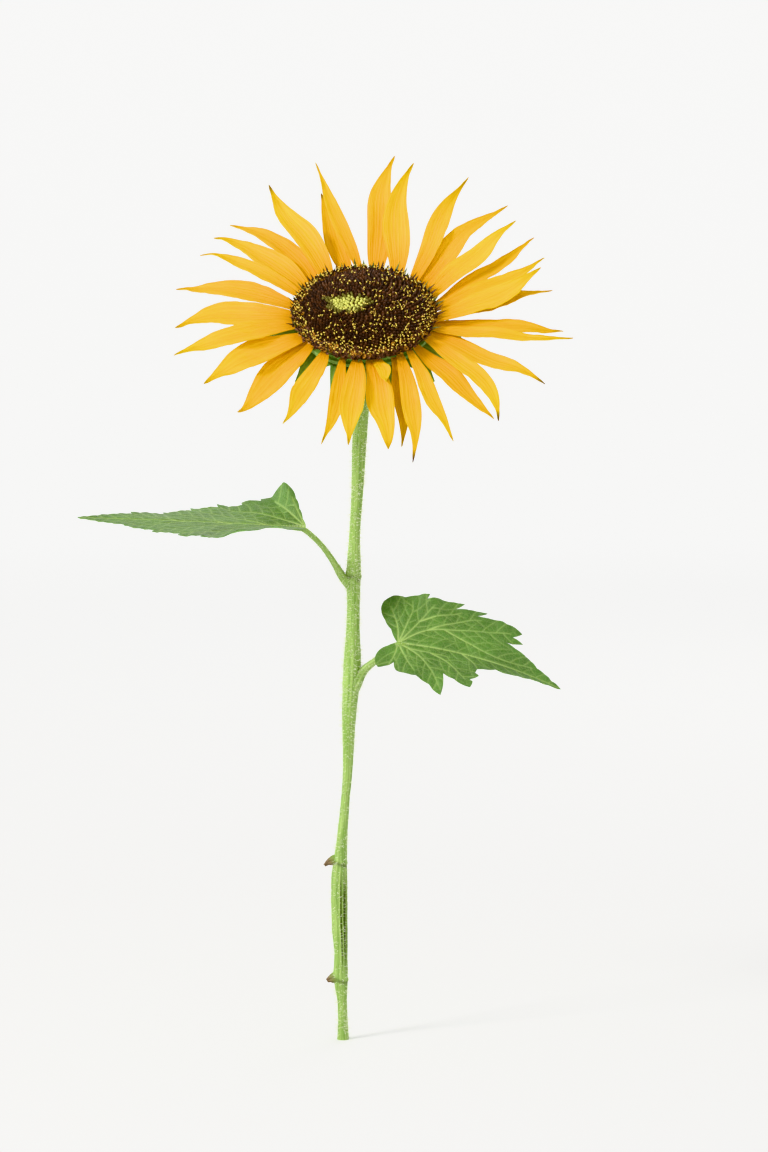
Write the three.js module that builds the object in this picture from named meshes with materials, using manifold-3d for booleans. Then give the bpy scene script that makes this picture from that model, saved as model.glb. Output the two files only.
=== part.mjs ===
// A dwarf sunflower in flower, rooted in level ground.
// Millimetres and degrees, +Z up, the flower turned towards -Y, the origin at the flat foot of the stem.

import * as THREE from 'three';
import { mergeVertices } from 'three/addons/utils/BufferGeometryUtils.js';
import Module from 'manifold-3d';

const wasm = await Module();
wasm.setup();

// Driving dimensions
const GAP = 0.3;                       // clearance wherever two pieces meet
const HEAD_CENTRE = [14.5, -30, 475];  // middle of the flower head, level with the underside of its disc
const HEAD_TILT = 39;                  // the head faces this far forward of straight up
const DISC_RADIUS = 46.5;
const DISC_HEIGHT = 12;
const RIM_HEIGHT = 2;                  // height of the disc at its rim
const FLORETS = 72;                    // coarse florets raised on the disc's face
const FLORET_FIELD = 41;               // and the radius that they reach
const RIM_SCALES = 32;
const SHOULDER = 5.2;                  // the ray petals stand in a rebate this deep under the disc
const SHOULDER_RADIUS = 38.5;
const RIM_RADIUS = 43.5;
const NECK_RADIUS = 6.4;
const NECK_DEPTH = 26;                 // from the underside of the disc back to the top of the stem
const RAY_SEAT = 41;                   // radius at which the ray petals begin
const RAY_THICKNESS = 0.9;
const RAY_CUP = 0.12;                  // how far a petal's edges stand up, as a part of its half width
const TIER_DEPTHS = { top: 1.3, middle: 2.7, low: 4.1 };
const LEAF_THICKNESS = 1.4;
const BRACT_THICKNESS = 0.9;
const BRACTS_A_ROW = 8;
const BRACT_BEND = 40;                 // radius past which a bract turns back

// The stem's middle line and radius, from just below the cut at the ground to the neck: x, y, z, radius
const STEM_COURSE = [
  [0, 0, -4, 4.6], [0, 0, 0, 3.9], [0, 0, 7, 3.4], [-0.5, 0, 24, 3.1],
  [-1.5, 0, 42, 4.7], [-1.3, 0, 56, 4.3], [-2.1, 0, 75, 5.1], [-2.3, 0, 108, 5.1],
  [-1.4, 0, 122, 4.1], [0.9, 0, 150, 2.9], [3.2, 0, 178, 3.1],
  [4.3, 0, 218, 4.7], [6.1, 0, 245, 5.7], [6.9, 0, 279, 4.1], [7.3, 0, 310, 4.6], [8, 1, 334, 3.5],
  [9.6, 2, 360, 3.8], [11, 3, 392, 4.6], [12.6, 1.5, 419, 4.9], [13.8, -4, 438, 5.3],
];

// Middle lines of the leaf stalks, from inside the stem to the blade, with a radius at each point
const LEFT_STALK = [
  [6.6, 0, 298.5, 3.6], [2.6, -0.3, 302.8, 3.4], [-0.7, -0.5, 307.2, 3], [-4.4, -0.8, 313.4, 2.4],
  [-9.4, -1.1, 321, 2.1], [-13.6, -1.4, 326.4, 2], [-19.8, -1.8, 332.7, 2], [-24.5, -2, 336.6, 2],
];
const RIGHT_STALK = [
  [4.4, 0, 227, 4.4], [8.4, -0.7, 236.5, 4.6], [14, -1.8, 245, 3.2], [24.4, -3.6, 253.3, 2.3],
  [35, -5.7, 261.6, 2.1],
];

// Stalk stubs where two lower leaves have broken off
const UPPER_STUB = [[-1, 0, 120, 3.6], [-6.2, 0, 119, 3.3], [-9.6, 0, 117.6, 1.9], [-12, 0, 115.8, 0.9]];
const LOWER_STUB = [[-1, 0, 41.2, 4.4], [-5.6, 0, 41, 3.8], [-8.2, 0, 40.2, 2.4], [-10.4, 0, 39.2, 1.3]];

// The leaf margins in rows: a place on the midrib, then how far along and out from its start
// the left margin and the right margin lie, seen from above
const RIGHT_MARGINS = [
  [0, -6, 10, -6, -3.5], [0.4, -11, 17, -12, -9], [1, -15, 26, -13, -15], [2, -14, 32, -9, -20.5],
  [4, -8, 36, 0, -16.5], [7, 4, 36, 7, -23.5], [10, 16, 37.5, 16, -26], [15, 38, 37.5, 25, -31],
  [19, 30, 32, 34, -38.5], [27, 53, 35.5, 33, -21], [32, 43, 31, 42, -25], [40, 60, 31, 52, -30],
  [49, 77, 27, 52, -22], [54, 71, 22, 54, -16], [62, 79, 20, 56, -12], [66, 66, 17, 69, -9],
  [76, 84, 12, 80, -7], [89, 92, 7, 91, -4], [102, 103, 3, 103, -2], [111, 111, 0.5, 111, -0.5],
];
const LEFT_MARGINS = [
  [0, 2, 8, 3, -8], [0.6, 2, 17, 6, -16], [1.6, 3, 26, 9, -24], [3, 6, 33, 13, -32],
  [6, 12, 36, 19, -37], [11, 19, 34, 26, -35], [17, 28, 39, 34, -34], [24, 31, 34, 35, -35],
  [32, 46, 39, 46, -37], [39, 46, 34, 45, -33], [48, 62, 39, 63, -36], [56, 63, 32, 62, -31],
  [66, 78, 35, 80, -31], [75, 80, 28, 80, -25], [87, 96, 27, 97, -23], [98, 102, 19, 102, -17],
  [111, 116, 15, 116, -14], [125, 128, 8, 128, -8], [138, 140, 3, 140, -3], [150, 150, 0.5, 150, -0.5],
];
const LEAF_COLUMNS = 4;              // strips between the midrib and each margin

// One row a ray petal: clock, aim, length, width, lift, curl, sway, hook and tier,
// and where they differ from the rest the twist of its tip and how fine that is
const RAYS = [
  [3, 12, 85, 12, 3, -6, 14, -12, 'low'],
  [11, 7, 86, 13, 11, -5, 14, 8, 'middle'],
  [14, 18, 94, 12, 9, -4, 20, -6, 'low'],
  [22, 24, 86, 16, 12, 3, -1, -7, 'top'],
  [35, 30, 98, 15, 16, -12, -25, -8, 'low'],
  [45, 22, 96, 13, 20, -9, 4, -22, 'middle', 65],
  [60, 27, 95, 17, 12, 12, 8, -44, 'top'],
  [79, 11, 101, 18, 13, 5, -8, -15, 'middle'],
  [92, 16, 102, 10, 14, -3, 2, -3, 'middle', 0, 1.5],
  [104, 0, 86, 14, 8, -6, 0, -5, 'low'],
  [123, -16, 89, 18, 13, 0, 34, -28, 'top'],
  [134, -21, 89, 16, 10, -13, 40, 6, 'low'],
  [146, -20, 84, 18, 11, -12, 28, 8, 'middle'],
  [156, -17, 79, 11, 13, -8, 25, 13, 'top'],
  [165, -8, 85, 17, 11, -21, 20, -4, 'low'],
  [178, -1, 81, 22, 7, -12, 18, 14, 'middle'],
  [190, 8, 87, 18, 6, -6, 12, 4, 'top'],
  [204, 8, 79, 22, 2, -2, 8, 10, 'middle'],
  [214, 17, 77, 21, -4, 0, 11, -8, 'low'],
  [234, 20, 82, 14, 5, 0, -1, -7, 'top'],
  [251, 15, 81, 10, 1, -4, -5, -12, 'middle'],
  [264, 3, 86, 16, 5, -5, -1, 1, 'top'],
  [277, 2, 83, 16, 2, -6, -2, -5, 'middle', 0, 0.8],
  [282, 0, 27, 9, 8, -6, 0, 0, 'top'],
  [297, -16, 76, 10, -4, -5, -14, -2, 'low'],
  [303, -24, 99, 12, 2, -4, -3, -16, 'middle'],
  [312, -24, 91, 10, 0, -2, -1, 0, 'top'],
  [322, -14, 79, 14, -6, 2, 2, -6, 'low'],
  [334, -18, 92, 13, -1, -2, -18, -30, 'top'],
  [340, -8, 86, 15, -3, 0, -3, 2, 'middle'],
  [346, -4, 94, 11, 2, 4, 14, -2, 'top'],
  [353, 3, 86, 16, 0, -3, 6, -6, 'low'],
  [357, 10, 82, 18, 9, 3, 38, -4, 'top'],
];

const radians = THREE.MathUtils.degToRad;
const lerp = THREE.MathUtils.lerp;
const clamp = THREE.MathUtils.clamp;

// The value at t of a list of places and values, on straight lines between them
function valueAt(stops, t) {
  const next = stops.findIndex(([place]) => place >= t);
  if (next < 1) return stops[0][1];
  const [start, from] = stops[next - 1];
  const [end, to] = stops[next];
  return lerp(from, to, (t - start) / (end - start));
}

// Colours and finishes
const finish = (color, roughness) => new THREE.MeshStandardMaterial({ color, roughness, metalness: 0 });
const STEM_GREEN = finish(0x6f8f3c, 0.7);
const LEAF_GREEN = finish(0x4c7a2b, 0.65);
const BRACT_GREEN = finish(0x5e8a35, 0.7);
const RAY_YELLOW = finish(0xf3b51b, 0.6);
const DISC_BROWN = finish(0x4a2c14, 0.9);
const STUB_BROWN = finish(0x8a6b3f, 0.85);

// A closed solid from a geometry, and back again
function solidOf(geometry) {
  const bare = new THREE.BufferGeometry();
  bare.setAttribute('position', geometry.getAttribute('position'));
  bare.setIndex(geometry.getIndex());
  const merged = mergeVertices(bare, 1e-4);
  return new wasm.Manifold(new wasm.Mesh({
    numProp: 3,
    vertProperties: new Float32Array(merged.getAttribute('position').array),
    triVerts: new Uint32Array(merged.getIndex().array),
  }));
}

function geometryOf(solid) {
  const mesh = solid.getMesh();
  const geometry = new THREE.BufferGeometry();
  geometry.setAttribute('position', new THREE.BufferAttribute(new Float32Array(mesh.vertProperties), 3));
  geometry.setIndex(new THREE.BufferAttribute(new Uint32Array(mesh.triVerts), 1));
  geometry.computeVertexNormals();
  return geometry;
}

function named(name, geometry, material) {
  const mesh = new THREE.Mesh(geometry, material);
  mesh.name = name;
  return mesh;
}

// A smooth curve through a list of points
const through = (points, kind) => {
  return new THREE.CatmullRomCurve3(points.map((point) => new THREE.Vector3(...point)), false, kind);
};

// A round limb laid along a course of [x, y, z, radius] points, with flat ends
function limb(course, { sides = 12, rings = 12, grown = 0 } = {}) {
  const line = through(course.map(([x, y, z]) => [x, y, z]), 'centripetal');
  const radii = through(course.map(([, , , radius], i) => [i, radius, 0]), 'catmullrom');
  const profile = [new THREE.Vector2(0, 0)];
  for (let i = 0; i <= rings; i++) profile.push(new THREE.Vector2(1, i / rings));
  profile.push(new THREE.Vector2(0, 1));
  const tube = new THREE.LatheGeometry(profile, sides);
  const position = tube.getAttribute('position');
  const point = new THREE.Vector3();
  for (let i = 0; i < position.count; i++) {
    const t = position.getY(i);
    const radius = radii.getPoint(t).y + grown;
    const forward = line.getTangent(t);
    const side = new THREE.Vector3(1, 0, 0).addScaledVector(forward, -forward.x).normalize();
    const back = new THREE.Vector3().crossVectors(forward, side);
    point.copy(line.getPoint(t));
    point.addScaledVector(side, position.getX(i) * radius);
    point.addScaledVector(back, -position.getZ(i) * radius);
    position.setXYZ(i, point.x, point.y, point.z);
  }
  return tube;
}

// A closed plate from rows of mid-surface points, with a thickness across them
function plate(rows, thickness) {
  const across = rows[0].length;
  const at = (i, j) => rows[clamp(i, 0, rows.length - 1)][clamp(j, 0, across - 1)];
  const points = [];
  for (const face of [0.5, -0.5]) {
    for (let i = 0; i < rows.length; i++) {
      for (let j = 0; j < across; j++) {
        const along = new THREE.Vector3().subVectors(at(i + 1, j), at(i - 1, j));
        const aside = new THREE.Vector3().subVectors(at(i, j + 1), at(i, j - 1));
        const normal = along.cross(aside).normalize();
        points.push(at(i, j).clone().addScaledVector(normal, face * thickness));
      }
    }
  }
  const back = rows.length * across;
  const index = [];
  const quad = (a, b, c, d) => index.push(a, b, c, a, c, d);
  for (let i = 0; i < rows.length - 1; i++) {
    for (let j = 0; j < across - 1; j++) {
      const a = i * across + j;
      const b = a + across;
      quad(a, b, b + 1, a + 1);
      quad(back + a, back + a + 1, back + b + 1, back + b);
    }
    const left = i * across + across - 1;
    const right = i * across;
    quad(left, left + across, back + left + across, back + left);
    quad(right, back + right, back + right + across, right + across);
  }
  const end = (rows.length - 1) * across;
  for (let j = 0; j < across - 1; j++) {
    quad(j, j + 1, back + j + 1, back + j);
    quad(end + j, back + end + j, back + end + j + 1, end + j + 1);
  }
  const geometry = new THREE.BufferGeometry().setFromPoints(points);
  geometry.setIndex(index);
  geometry.computeVertexNormals();
  return geometry;
}

// The middle rib of a blade, which sets off along +X with its face up: a function from the place along it
function ribOf({ length, lift, curl, aim = 0, sway = 0, hook = 0 }) {
  const steps = 48;
  const heading = (t) => {
    const pitch = radians(lift + curl * t);
    const yaw = radians(aim + sway * t + hook * clamp((t - 0.6) / 0.4, 0, 1));
    const level = Math.cos(pitch);
    return new THREE.Vector3(level * Math.cos(yaw), level * Math.sin(yaw), Math.sin(pitch));
  };
  const points = [new THREE.Vector3()];
  for (let i = 0; i < steps; i++) {
    points.push(points[i].clone().addScaledVector(heading((i + 0.5) / steps), length / steps));
  }
  return (t) => {
    const place = clamp(t, 0, 1) * steps;
    const i = Math.min(Math.floor(place), steps - 1);
    const forward = heading(t);
    const side = new THREE.Vector3(-forward.y, forward.x, 0).normalize();
    const point = points[i].clone().lerp(points[i + 1], place - i);
    return { point, forward, side, up: new THREE.Vector3().crossVectors(forward, side) };
  };
}

// Width of a ray petal along its length, as a part of its full width: narrow foot, full middle, fine tip
const rayShape = (t, fineness) => Math.pow(Math.sin(Math.PI * Math.pow(0.2 + 0.8 * t, 1.2)), fineness);
const NARROWEST_HALF = 0.4;

function ray([, aim, length, width, lift, curl, sway, hook, , twist = 0, fineness = 1.3]) {
  const rib = ribOf({ length, lift, curl, aim, sway, hook });
  const stations = 10;
  const rows = [];
  for (let i = 0; i <= stations; i++) {
    const t = i / stations;
    const { point, forward, side, up } = rib(t);
    const roll = radians(twist * clamp(2 * t - 1, 0, 1));
    side.applyAxisAngle(forward, roll);
    up.applyAxisAngle(forward, roll);
    const half = Math.max(width / 2 * rayShape(t, fineness), NARROWEST_HALF);
    rows.push([-1, 0, 1].map((v) => point.clone()
      .addScaledVector(side, half * v)
      .addScaledVector(up, half * RAY_CUP * Math.abs(v) * Math.min(1, 3 * t))));
  }
  return plate(rows, RAY_THICKNESS);
}

// A leaf's margin ripples once in this length, fully where it stands this far out
const RIPPLE_LENGTH = 9 * 2 * Math.PI;
const RIPPLE_REACH = 35;

// A leaf blade: each half stands off the midrib at its own angles, given at places from its base to its tip,
// and its margin ripples
function leaf({ margins, length, curl, aim, sway, hangLeft, hangRight, ripple, seat }) {
  const rib = ribOf({ length, lift: 0, curl, aim, sway });
  const rows = margins.map(([place, leftAlong, leftOut, rightAlong, rightOut]) => {
    const t = place / length;
    const { point, forward, side, up } = rib(t);
    const edge = (along, out, hang) => {
      const angle = radians(valueAt(hang, t));
      const wave = ripple * Math.sin(2 * Math.PI * along / RIPPLE_LENGTH) * Math.abs(out) / RIPPLE_REACH;
      return new THREE.Vector3().addScaledVector(forward, along - place)
        .addScaledVector(side, out * Math.cos(angle))
        .addScaledVector(up, Math.abs(out) * Math.sin(angle) + wave);
    };
    const left = edge(leftAlong, leftOut, hangLeft);
    const right = edge(rightAlong, rightOut, hangRight);
    const row = [];
    for (let j = -LEAF_COLUMNS; j <= LEAF_COLUMNS; j++) {
      const v = Math.abs(j) / LEAF_COLUMNS;
      const start = point.clone().addScaledVector(side, seat * Math.sign(j) * (1 - v) * (1 - t));
      row.push(start.addScaledVector(j < 0 ? right : left, v));
    }
    return row;
  });
  return plate(rows, LEAF_THICKNESS);
}

// The receptacle under the disc: a shallow bowl with a rebate for the ray petals and a short neck
const BOWL = [
  [RIM_RADIUS, SHOULDER], [RIM_RADIUS, SHOULDER + 2], [40, 9.5], [31, 14], [20, 18.5], [11, 22.5],
  [NECK_RADIUS, NECK_DEPTH],
];

function receptacle() {
  const rebate = [[SHOULDER_RADIUS, SHOULDER], [SHOULDER_RADIUS, GAP], [0, GAP]];
  const profile = [[0, NECK_DEPTH], ...BOWL.toReversed(), ...rebate];
  const points = profile.map(([radius, depth]) => new THREE.Vector2(radius, -depth));
  return new THREE.LatheGeometry(points, 32).rotateX(Math.PI / 2);
}

// Depth of the bowl's underside at a radius
function bowlDepth(radius) {
  for (let i = 1; i < BOWL.length - 1; i++) {
    const [outer, shallow] = BOWL[i];
    const [inner, deep] = BOWL[i + 1];
    if (radius >= inner) return lerp(deep, shallow, clamp((radius - inner) / (outer - inner), 0, 1));
  }
  return NECK_DEPTH;
}

// Width of a bract along its length, as a part of its full width: broad near its foot, with a blunt point
const bractShape = (t) => Math.max(Math.sin(Math.PI * Math.pow(0.3 + 0.7 * t, 1.5)), 0.06);

// A bract lies along the bowl's underside, wrapped round it, and its point turns back past the rim
function bract(clock, { start, reach, width, below, turn }) {
  const stations = 7;
  const rows = [];
  for (let i = 0; i <= stations; i++) {
    const t = i / stations;
    const radius = lerp(start, reach, t);
    const past = Math.max(0, radius - BRACT_BEND);
    const depth = bowlDepth(Math.min(radius, BRACT_BEND)) + below + turn * past * past;
    const half = width / 2 * bractShape(t);
    rows.push([-1, 0, 1].map((v) => {
      const angle = radians(clock) + half * v / radius;
      return new THREE.Vector3(radius * Math.cos(angle), radius * Math.sin(angle), -depth);
    }));
  }
  return plate(rows, BRACT_THICKNESS);
}

// Height of the disc's domed face at a radius
const domeHeight = (radius) => {
  const flatness = clamp(1 - Math.pow(radius / DISC_RADIUS, 2), 0, 1);
  return RIM_HEIGHT + (DISC_HEIGHT - RIM_HEIGHT) * Math.pow(flatness, 0.7);
};

// A small pyramid, sunk a little into the disc's face where it stands and leaning outwards
function spike({ radius, clock, lean, height, girth }) {
  const sunk = 0.5;
  const cone = new THREE.ConeGeometry(girth, height, 4).translate(0, height / 2 - sunk, 0);
  cone.rotateX(Math.PI / 2);
  cone.rotateY(radians(lean));
  cone.translate(radius, 0, domeHeight(radius));
  return solidOf(cone.rotateZ(clock));
}

function disc() {
  const profile = [new THREE.Vector2(0, 0), new THREE.Vector2(RIM_RADIUS - 0.5, 0)];
  for (const part of [1, 0.96, 0.88, 0.75, 0.55, 0.3]) {
    profile.push(new THREE.Vector2(DISC_RADIUS * part, domeHeight(DISC_RADIUS * part)));
  }
  profile.push(new THREE.Vector2(0, DISC_HEIGHT));
  let solid = solidOf(new THREE.LatheGeometry(profile, 36).rotateX(Math.PI / 2));
  const goldenAngle = Math.PI * (3 - Math.sqrt(5));
  for (let k = 0; k < FLORETS; k++) {
    const radius = FLORET_FIELD * Math.sqrt((k + 0.5) / FLORETS);
    const clock = k * goldenAngle;
    solid = solid.add(spike({ radius, clock, lean: radius * 0.9, height: 2.8, girth: 2.6 }));
  }
  for (let k = 0; k < RIM_SCALES; k++) {
    const clock = 2 * Math.PI * k / RIM_SCALES;
    solid = solid.add(spike({ radius: DISC_RADIUS - 1.5, clock, lean: 50, height: 5, girth: 1.9 }));
  }
  return geometryOf(solid);
}

// The stem runs up its course and bends forward to meet the neck squarely, and it is cut flat at the ground
const STEM = { sides: 16, rings: 48 };
const headAxis = new THREE.Vector3(0, 0, 1).applyAxisAngle(new THREE.Vector3(1, 0, 0), radians(HEAD_TILT));
const behindHead = (depth) => new THREE.Vector3(...HEAD_CENTRE).addScaledVector(headAxis, -depth).toArray();
const stemCourse = [
  ...STEM_COURSE,
  [...behindHead(NECK_DEPTH + 4), 6],
  [...behindHead(NECK_DEPTH + GAP), NECK_RADIUS],
];
const stemShape = geometryOf(solidOf(limb(stemCourse, STEM)).trimByPlane([0, 0, 1], 0));

// A piece with the stem cut out of it, a little larger than the stem is
const stemGrown = solidOf(limb(stemCourse, { ...STEM, grown: GAP }));
const clearOfStem = (geometry) => geometryOf(solidOf(geometry).subtract(stemGrown));

// The head, in a group of its own with its face along +Z
function head() {
  const group = new THREE.Group();
  group.position.set(...HEAD_CENTRE);
  group.rotation.x = radians(HEAD_TILT);
  group.add(named('disc', disc(), DISC_BROWN));
  group.add(named('receptacle', receptacle(), BRACT_GREEN));
  RAYS.forEach((row, k) => {
    const mesh = named(`ray_${String(k + 1).padStart(2, '0')}`, ray(row), RAY_YELLOW);
    mesh.position.set(RAY_SEAT, 0, -TIER_DEPTHS[row[8]]);
    const turned = new THREE.Group();
    turned.rotation.z = radians(row[0]);
    turned.add(mesh);
    group.add(turned);
  });
  const inner = { start: 24, reach: 53, width: 26, below: GAP + 0.8, turn: 0.014 };
  const outer = { start: 17, reach: 51, width: 22, below: GAP + 2.4, turn: 0.028 };
  for (let k = 0; k < 2 * BRACTS_A_ROW; k++) {
    const clock = 180 * k / BRACTS_A_ROW;
    const shape = bract(clock, k % 2 === 0 ? inner : outer);
    group.add(named(`bract_${String(k + 1).padStart(2, '0')}`, shape, BRACT_GREEN));
  }
  return group;
}

// A leaf blade hung in place: its midrib sets off in one direction, it is rolled about that, and its
// stalk is cut out of it
function placedLeaf(name, traits, { at, heading, dip, roll }, stalk) {
  const mesh = named(name, leaf(traits), LEAF_GREEN);
  mesh.rotation.order = 'ZYX';
  mesh.rotation.set(radians(roll), radians(dip), radians(heading));
  mesh.position.set(...at);
  mesh.updateMatrixWorld();
  const world = mesh.geometry.applyMatrix4(mesh.matrixWorld);
  return named(name, geometryOf(solidOf(world).subtract(solidOf(stalk))), LEAF_GREEN);
}

// The two leaves: the shape of each blade, and where and how it hangs
const LEFT_LEAF = {
  margins: LEFT_MARGINS, length: 150, curl: -2, aim: 0, sway: 0,
  hangLeft: [[0, 22], [0.14, 20], [0.3, 8], [0.55, 11], [1, 4]],
  hangRight: [[0, 20], [0.04, 18], [0.08, 4], [0.15, 1], [0.28, -10], [0.4, -12], [0.8, -7], [1, -5]],
  ripple: 1.5, seat: 0.8,
};
const LEFT_PLACE = { at: [-23.5, -2, 338], heading: 176, dip: -3, roll: -22 };
const RIGHT_LEAF = {
  margins: RIGHT_MARGINS, length: 111, curl: -24, aim: 4, sway: -8,
  hangLeft: [[0, 4], [0.4, 2], [1, 0]], hangRight: [[0, 0], [0.4, 20], [1, 42]],
  ripple: 2, seat: 0.8,
};
const RIGHT_PLACE = { at: [36, -6, 263], heading: -10, dip: 8, roll: 47 };
const STALK = { sides: 10, rings: 12 };
const STUB = { sides: 10, rings: 6 };

const plant = new THREE.Group();
plant.add(named('stem', stemShape, STEM_GREEN));
plant.add(named('left_petiole', clearOfStem(limb(LEFT_STALK, STALK)), STEM_GREEN));
plant.add(named('right_petiole', clearOfStem(limb(RIGHT_STALK, STALK)), STEM_GREEN));
plant.add(named('upper_stub', clearOfStem(limb(UPPER_STUB, STUB)), STUB_BROWN));
plant.add(named('lower_stub', clearOfStem(limb(LOWER_STUB, STUB)), STUB_BROWN));
plant.add(placedLeaf('left_leaf', LEFT_LEAF, LEFT_PLACE, limb(LEFT_STALK, { ...STALK, grown: GAP })));
plant.add(placedLeaf('right_leaf', RIGHT_LEAF, RIGHT_PLACE, limb(RIGHT_STALK, { ...STALK, grown: GAP })));
plant.add(head());

export default plant;
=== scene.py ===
"""A dwarf sunflower in flower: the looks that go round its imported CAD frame."""

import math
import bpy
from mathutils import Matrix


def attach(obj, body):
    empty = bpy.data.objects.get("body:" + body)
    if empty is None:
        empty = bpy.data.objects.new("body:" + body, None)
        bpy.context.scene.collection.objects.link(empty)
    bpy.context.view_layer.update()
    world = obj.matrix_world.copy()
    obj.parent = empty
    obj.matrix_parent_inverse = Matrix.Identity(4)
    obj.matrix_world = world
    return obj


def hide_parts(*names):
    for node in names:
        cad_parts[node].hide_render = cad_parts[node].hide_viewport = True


bl_info = {
    "name": "Dwarf Sunflower",
    "version": (1, 0, 0),
    "blender": (4, 5, 0),
    "location": "View3D > Sidebar > Sunflower",
    "description": "Dresses the frame of a rooted dwarf sunflower: stem, leaves, petals, bracts and disc",
    "category": "Add Mesh",
}

import bpy
import numpy as np
from mathutils import Matrix, Vector
from mathutils.geometry import delaunay_2d_cdt
from mathutils.kdtree import KDTree

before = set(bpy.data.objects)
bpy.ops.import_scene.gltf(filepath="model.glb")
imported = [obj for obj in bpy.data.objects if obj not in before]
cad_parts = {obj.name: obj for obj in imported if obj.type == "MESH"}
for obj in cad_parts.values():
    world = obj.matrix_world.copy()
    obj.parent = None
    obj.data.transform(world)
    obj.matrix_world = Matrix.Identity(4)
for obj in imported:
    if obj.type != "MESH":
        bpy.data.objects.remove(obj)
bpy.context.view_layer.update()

# Driving dimensions, in millimetres and degrees, as in the part's source
MM = 0.001
HEAD_CENTRE = (14.5, -30, 475)
HEAD_TILT = 39
DISC_RADIUS = 46.5
DISC_HEIGHT = 12
RIM_HEIGHT = 2
RIM_RADIUS = 43.5
SHOULDER = 5.2
NECK_RADIUS = 6.4
NECK_DEPTH = 26
RAY_SEAT = 41
RAY_CUP = 0.12
TIER_DEPTHS = {"top": 1.3, "middle": 2.7, "low": 4.1}
BRACTS_A_ROW = 8
BRACT_BEND = 40
GAP = 0.3

HEAD = Matrix.Translation(Vector(HEAD_CENTRE) * MM) @ Matrix.Rotation(math.radians(HEAD_TILT), 4, "X")

# Middle lines of the stem, the two leaf stalks and the two stubs: x, y, z, radius.
# A stalk's last two points run on under its blade, as the blade's rib
STEM_COURSE = [
    (0, 0, -4, 4.6), (0, 0, 0, 3.9), (0, 0, 7, 3.4), (-0.5, 0, 24, 3.1),
    (-1.5, 0, 42, 4.7), (-1.3, 0, 56, 4.3), (-2.1, 0, 75, 5.1), (-2.3, 0, 108, 5.1),
    (-1.4, 0, 122, 4.1), (0.9, 0, 150, 2.9), (3.2, 0, 178, 3.1),
    (4.3, 0, 218, 4.7), (6.1, 0, 245, 5.7), (6.9, 0, 279, 4.1), (7.3, 0, 310, 4.6), (8, 1, 334, 3.5),
    (9.6, 2, 360, 3.8), (11, 3, 392, 4.6), (12.6, 1.5, 419, 4.9), (13.8, -4, 438, 5.3),
]
LEFT_STALK = [
    (6.6, 0, 298.5, 3.6), (2.6, -0.3, 302.8, 3.4), (-0.7, -0.5, 307.2, 3), (-4.4, -0.8, 313.4, 2.4),
    (-9.4, -1.1, 321, 2.1), (-13.6, -1.4, 326.4, 2), (-19.8, -1.8, 332.7, 2), (-25.5, -2, 336.8, 1.9),
    (-31, -1.6, 337.1, 1.3), (-39, -1.1, 337.8, 0.6),
]
RIGHT_STALK = [
    (4.4, 0, 227, 4.4), (8.4, -0.7, 236.5, 4.6), (14, -1.8, 245, 3.2), (24.4, -3.6, 253.3, 2.3),
    (35.5, -5.6, 261.8, 2), (41.8, -6.1, 261.2, 1.3), (49.6, -7.8, 260, 0.7),
]
UPPER_STUB = [(-1, 0, 120, 3.6), (-6.2, 0, 119, 3.3), (-9.6, 0, 117.6, 1.9), (-12, 0, 115.8, 0.9)]
LOWER_STUB = [(-1, 0, 41.2, 4.4), (-5.6, 0, 41, 3.8), (-8.2, 0, 40.2, 2.4), (-10.4, 0, 39.2, 1.3)]

# Heights of the scars where leaf stalks were
COLLARS = (118.5, 41, 310)

# One row a petal: clock, aim, length, width, lift, curl, sway, hook, tier,
# and where they differ from the rest the twist of its tip and how fine that is
RAYS = [
    (3, 12, 85, 12, 3, -6, 14, -12, "low"),
    (11, 7, 86, 13, 11, -5, 14, 8, "middle"),
    (14, 18, 94, 12, 9, -4, 20, -6, "low"),
    (22, 24, 86, 16, 12, 3, -1, -7, "top"),
    (35, 30, 98, 15, 16, -12, -25, -8, "low"),
    (45, 22, 96, 13, 20, -9, 4, -22, "middle", 65),
    (60, 27, 95, 17, 12, 12, 8, -44, "top", 40),
    (79, 11, 101, 18, 13, 5, -8, -15, "middle"),
    (92, 16, 102, 10, 14, -3, 2, -3, "middle", 0, 1.5),
    (104, 0, 86, 14, 8, -6, 0, -5, "low"),
    (123, -16, 89, 18, 13, 0, 34, -28, "top"),
    (134, -21, 89, 16, 10, -13, 40, 6, "low"),
    (146, -20, 84, 18, 11, -12, 28, 8, "middle"),
    (156, -17, 79, 11, 13, -8, 25, 13, "top"),
    (165, -8, 85, 17, 11, -21, 20, -4, "low"),
    (178, -1, 81, 22, 7, -12, 18, 14, "middle"),
    (190, 8, 87, 18, 6, -6, 12, 4, "top"),
    (204, 8, 79, 22, 2, -2, 8, 10, "middle"),
    (214, 17, 77, 21, -4, 0, 11, -8, "low"),
    (234, 20, 82, 14, 5, 0, -1, -7, "top"),
    (251, 15, 81, 10, 1, -4, -5, -12, "middle"),
    (264, 3, 86, 16, 5, -5, -1, 1, "top"),
    (277, 2, 83, 16, 2, -6, -2, -5, "middle", 0, 0.8),
    (282, 0, 27, 9, 8, -6, 0, 0, "top"),
    (297, -16, 76, 10, -4, -5, -14, -2, "low"),
    (303, -24, 99, 12, 2, -4, -3, -16, "middle"),
    (312, -24, 91, 10, 0, -2, -1, 0, "top"),
    (322, -14, 79, 14, -6, 2, 2, -6, "low"),
    (334, -18, 92, 13, -1, -2, -18, -30, "top"),
    (340, -8, 86, 15, -3, 0, -3, 2, "middle"),
    (346, -4, 94, 11, 2, 4, 14, -2, "top"),
    (353, 3, 86, 16, 0, -3, 6, -6, "low"),
    (357, 10, 82, 18, 9, 3, 38, -4, "top"),
]
USUAL_FINENESS = 1.3

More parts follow.
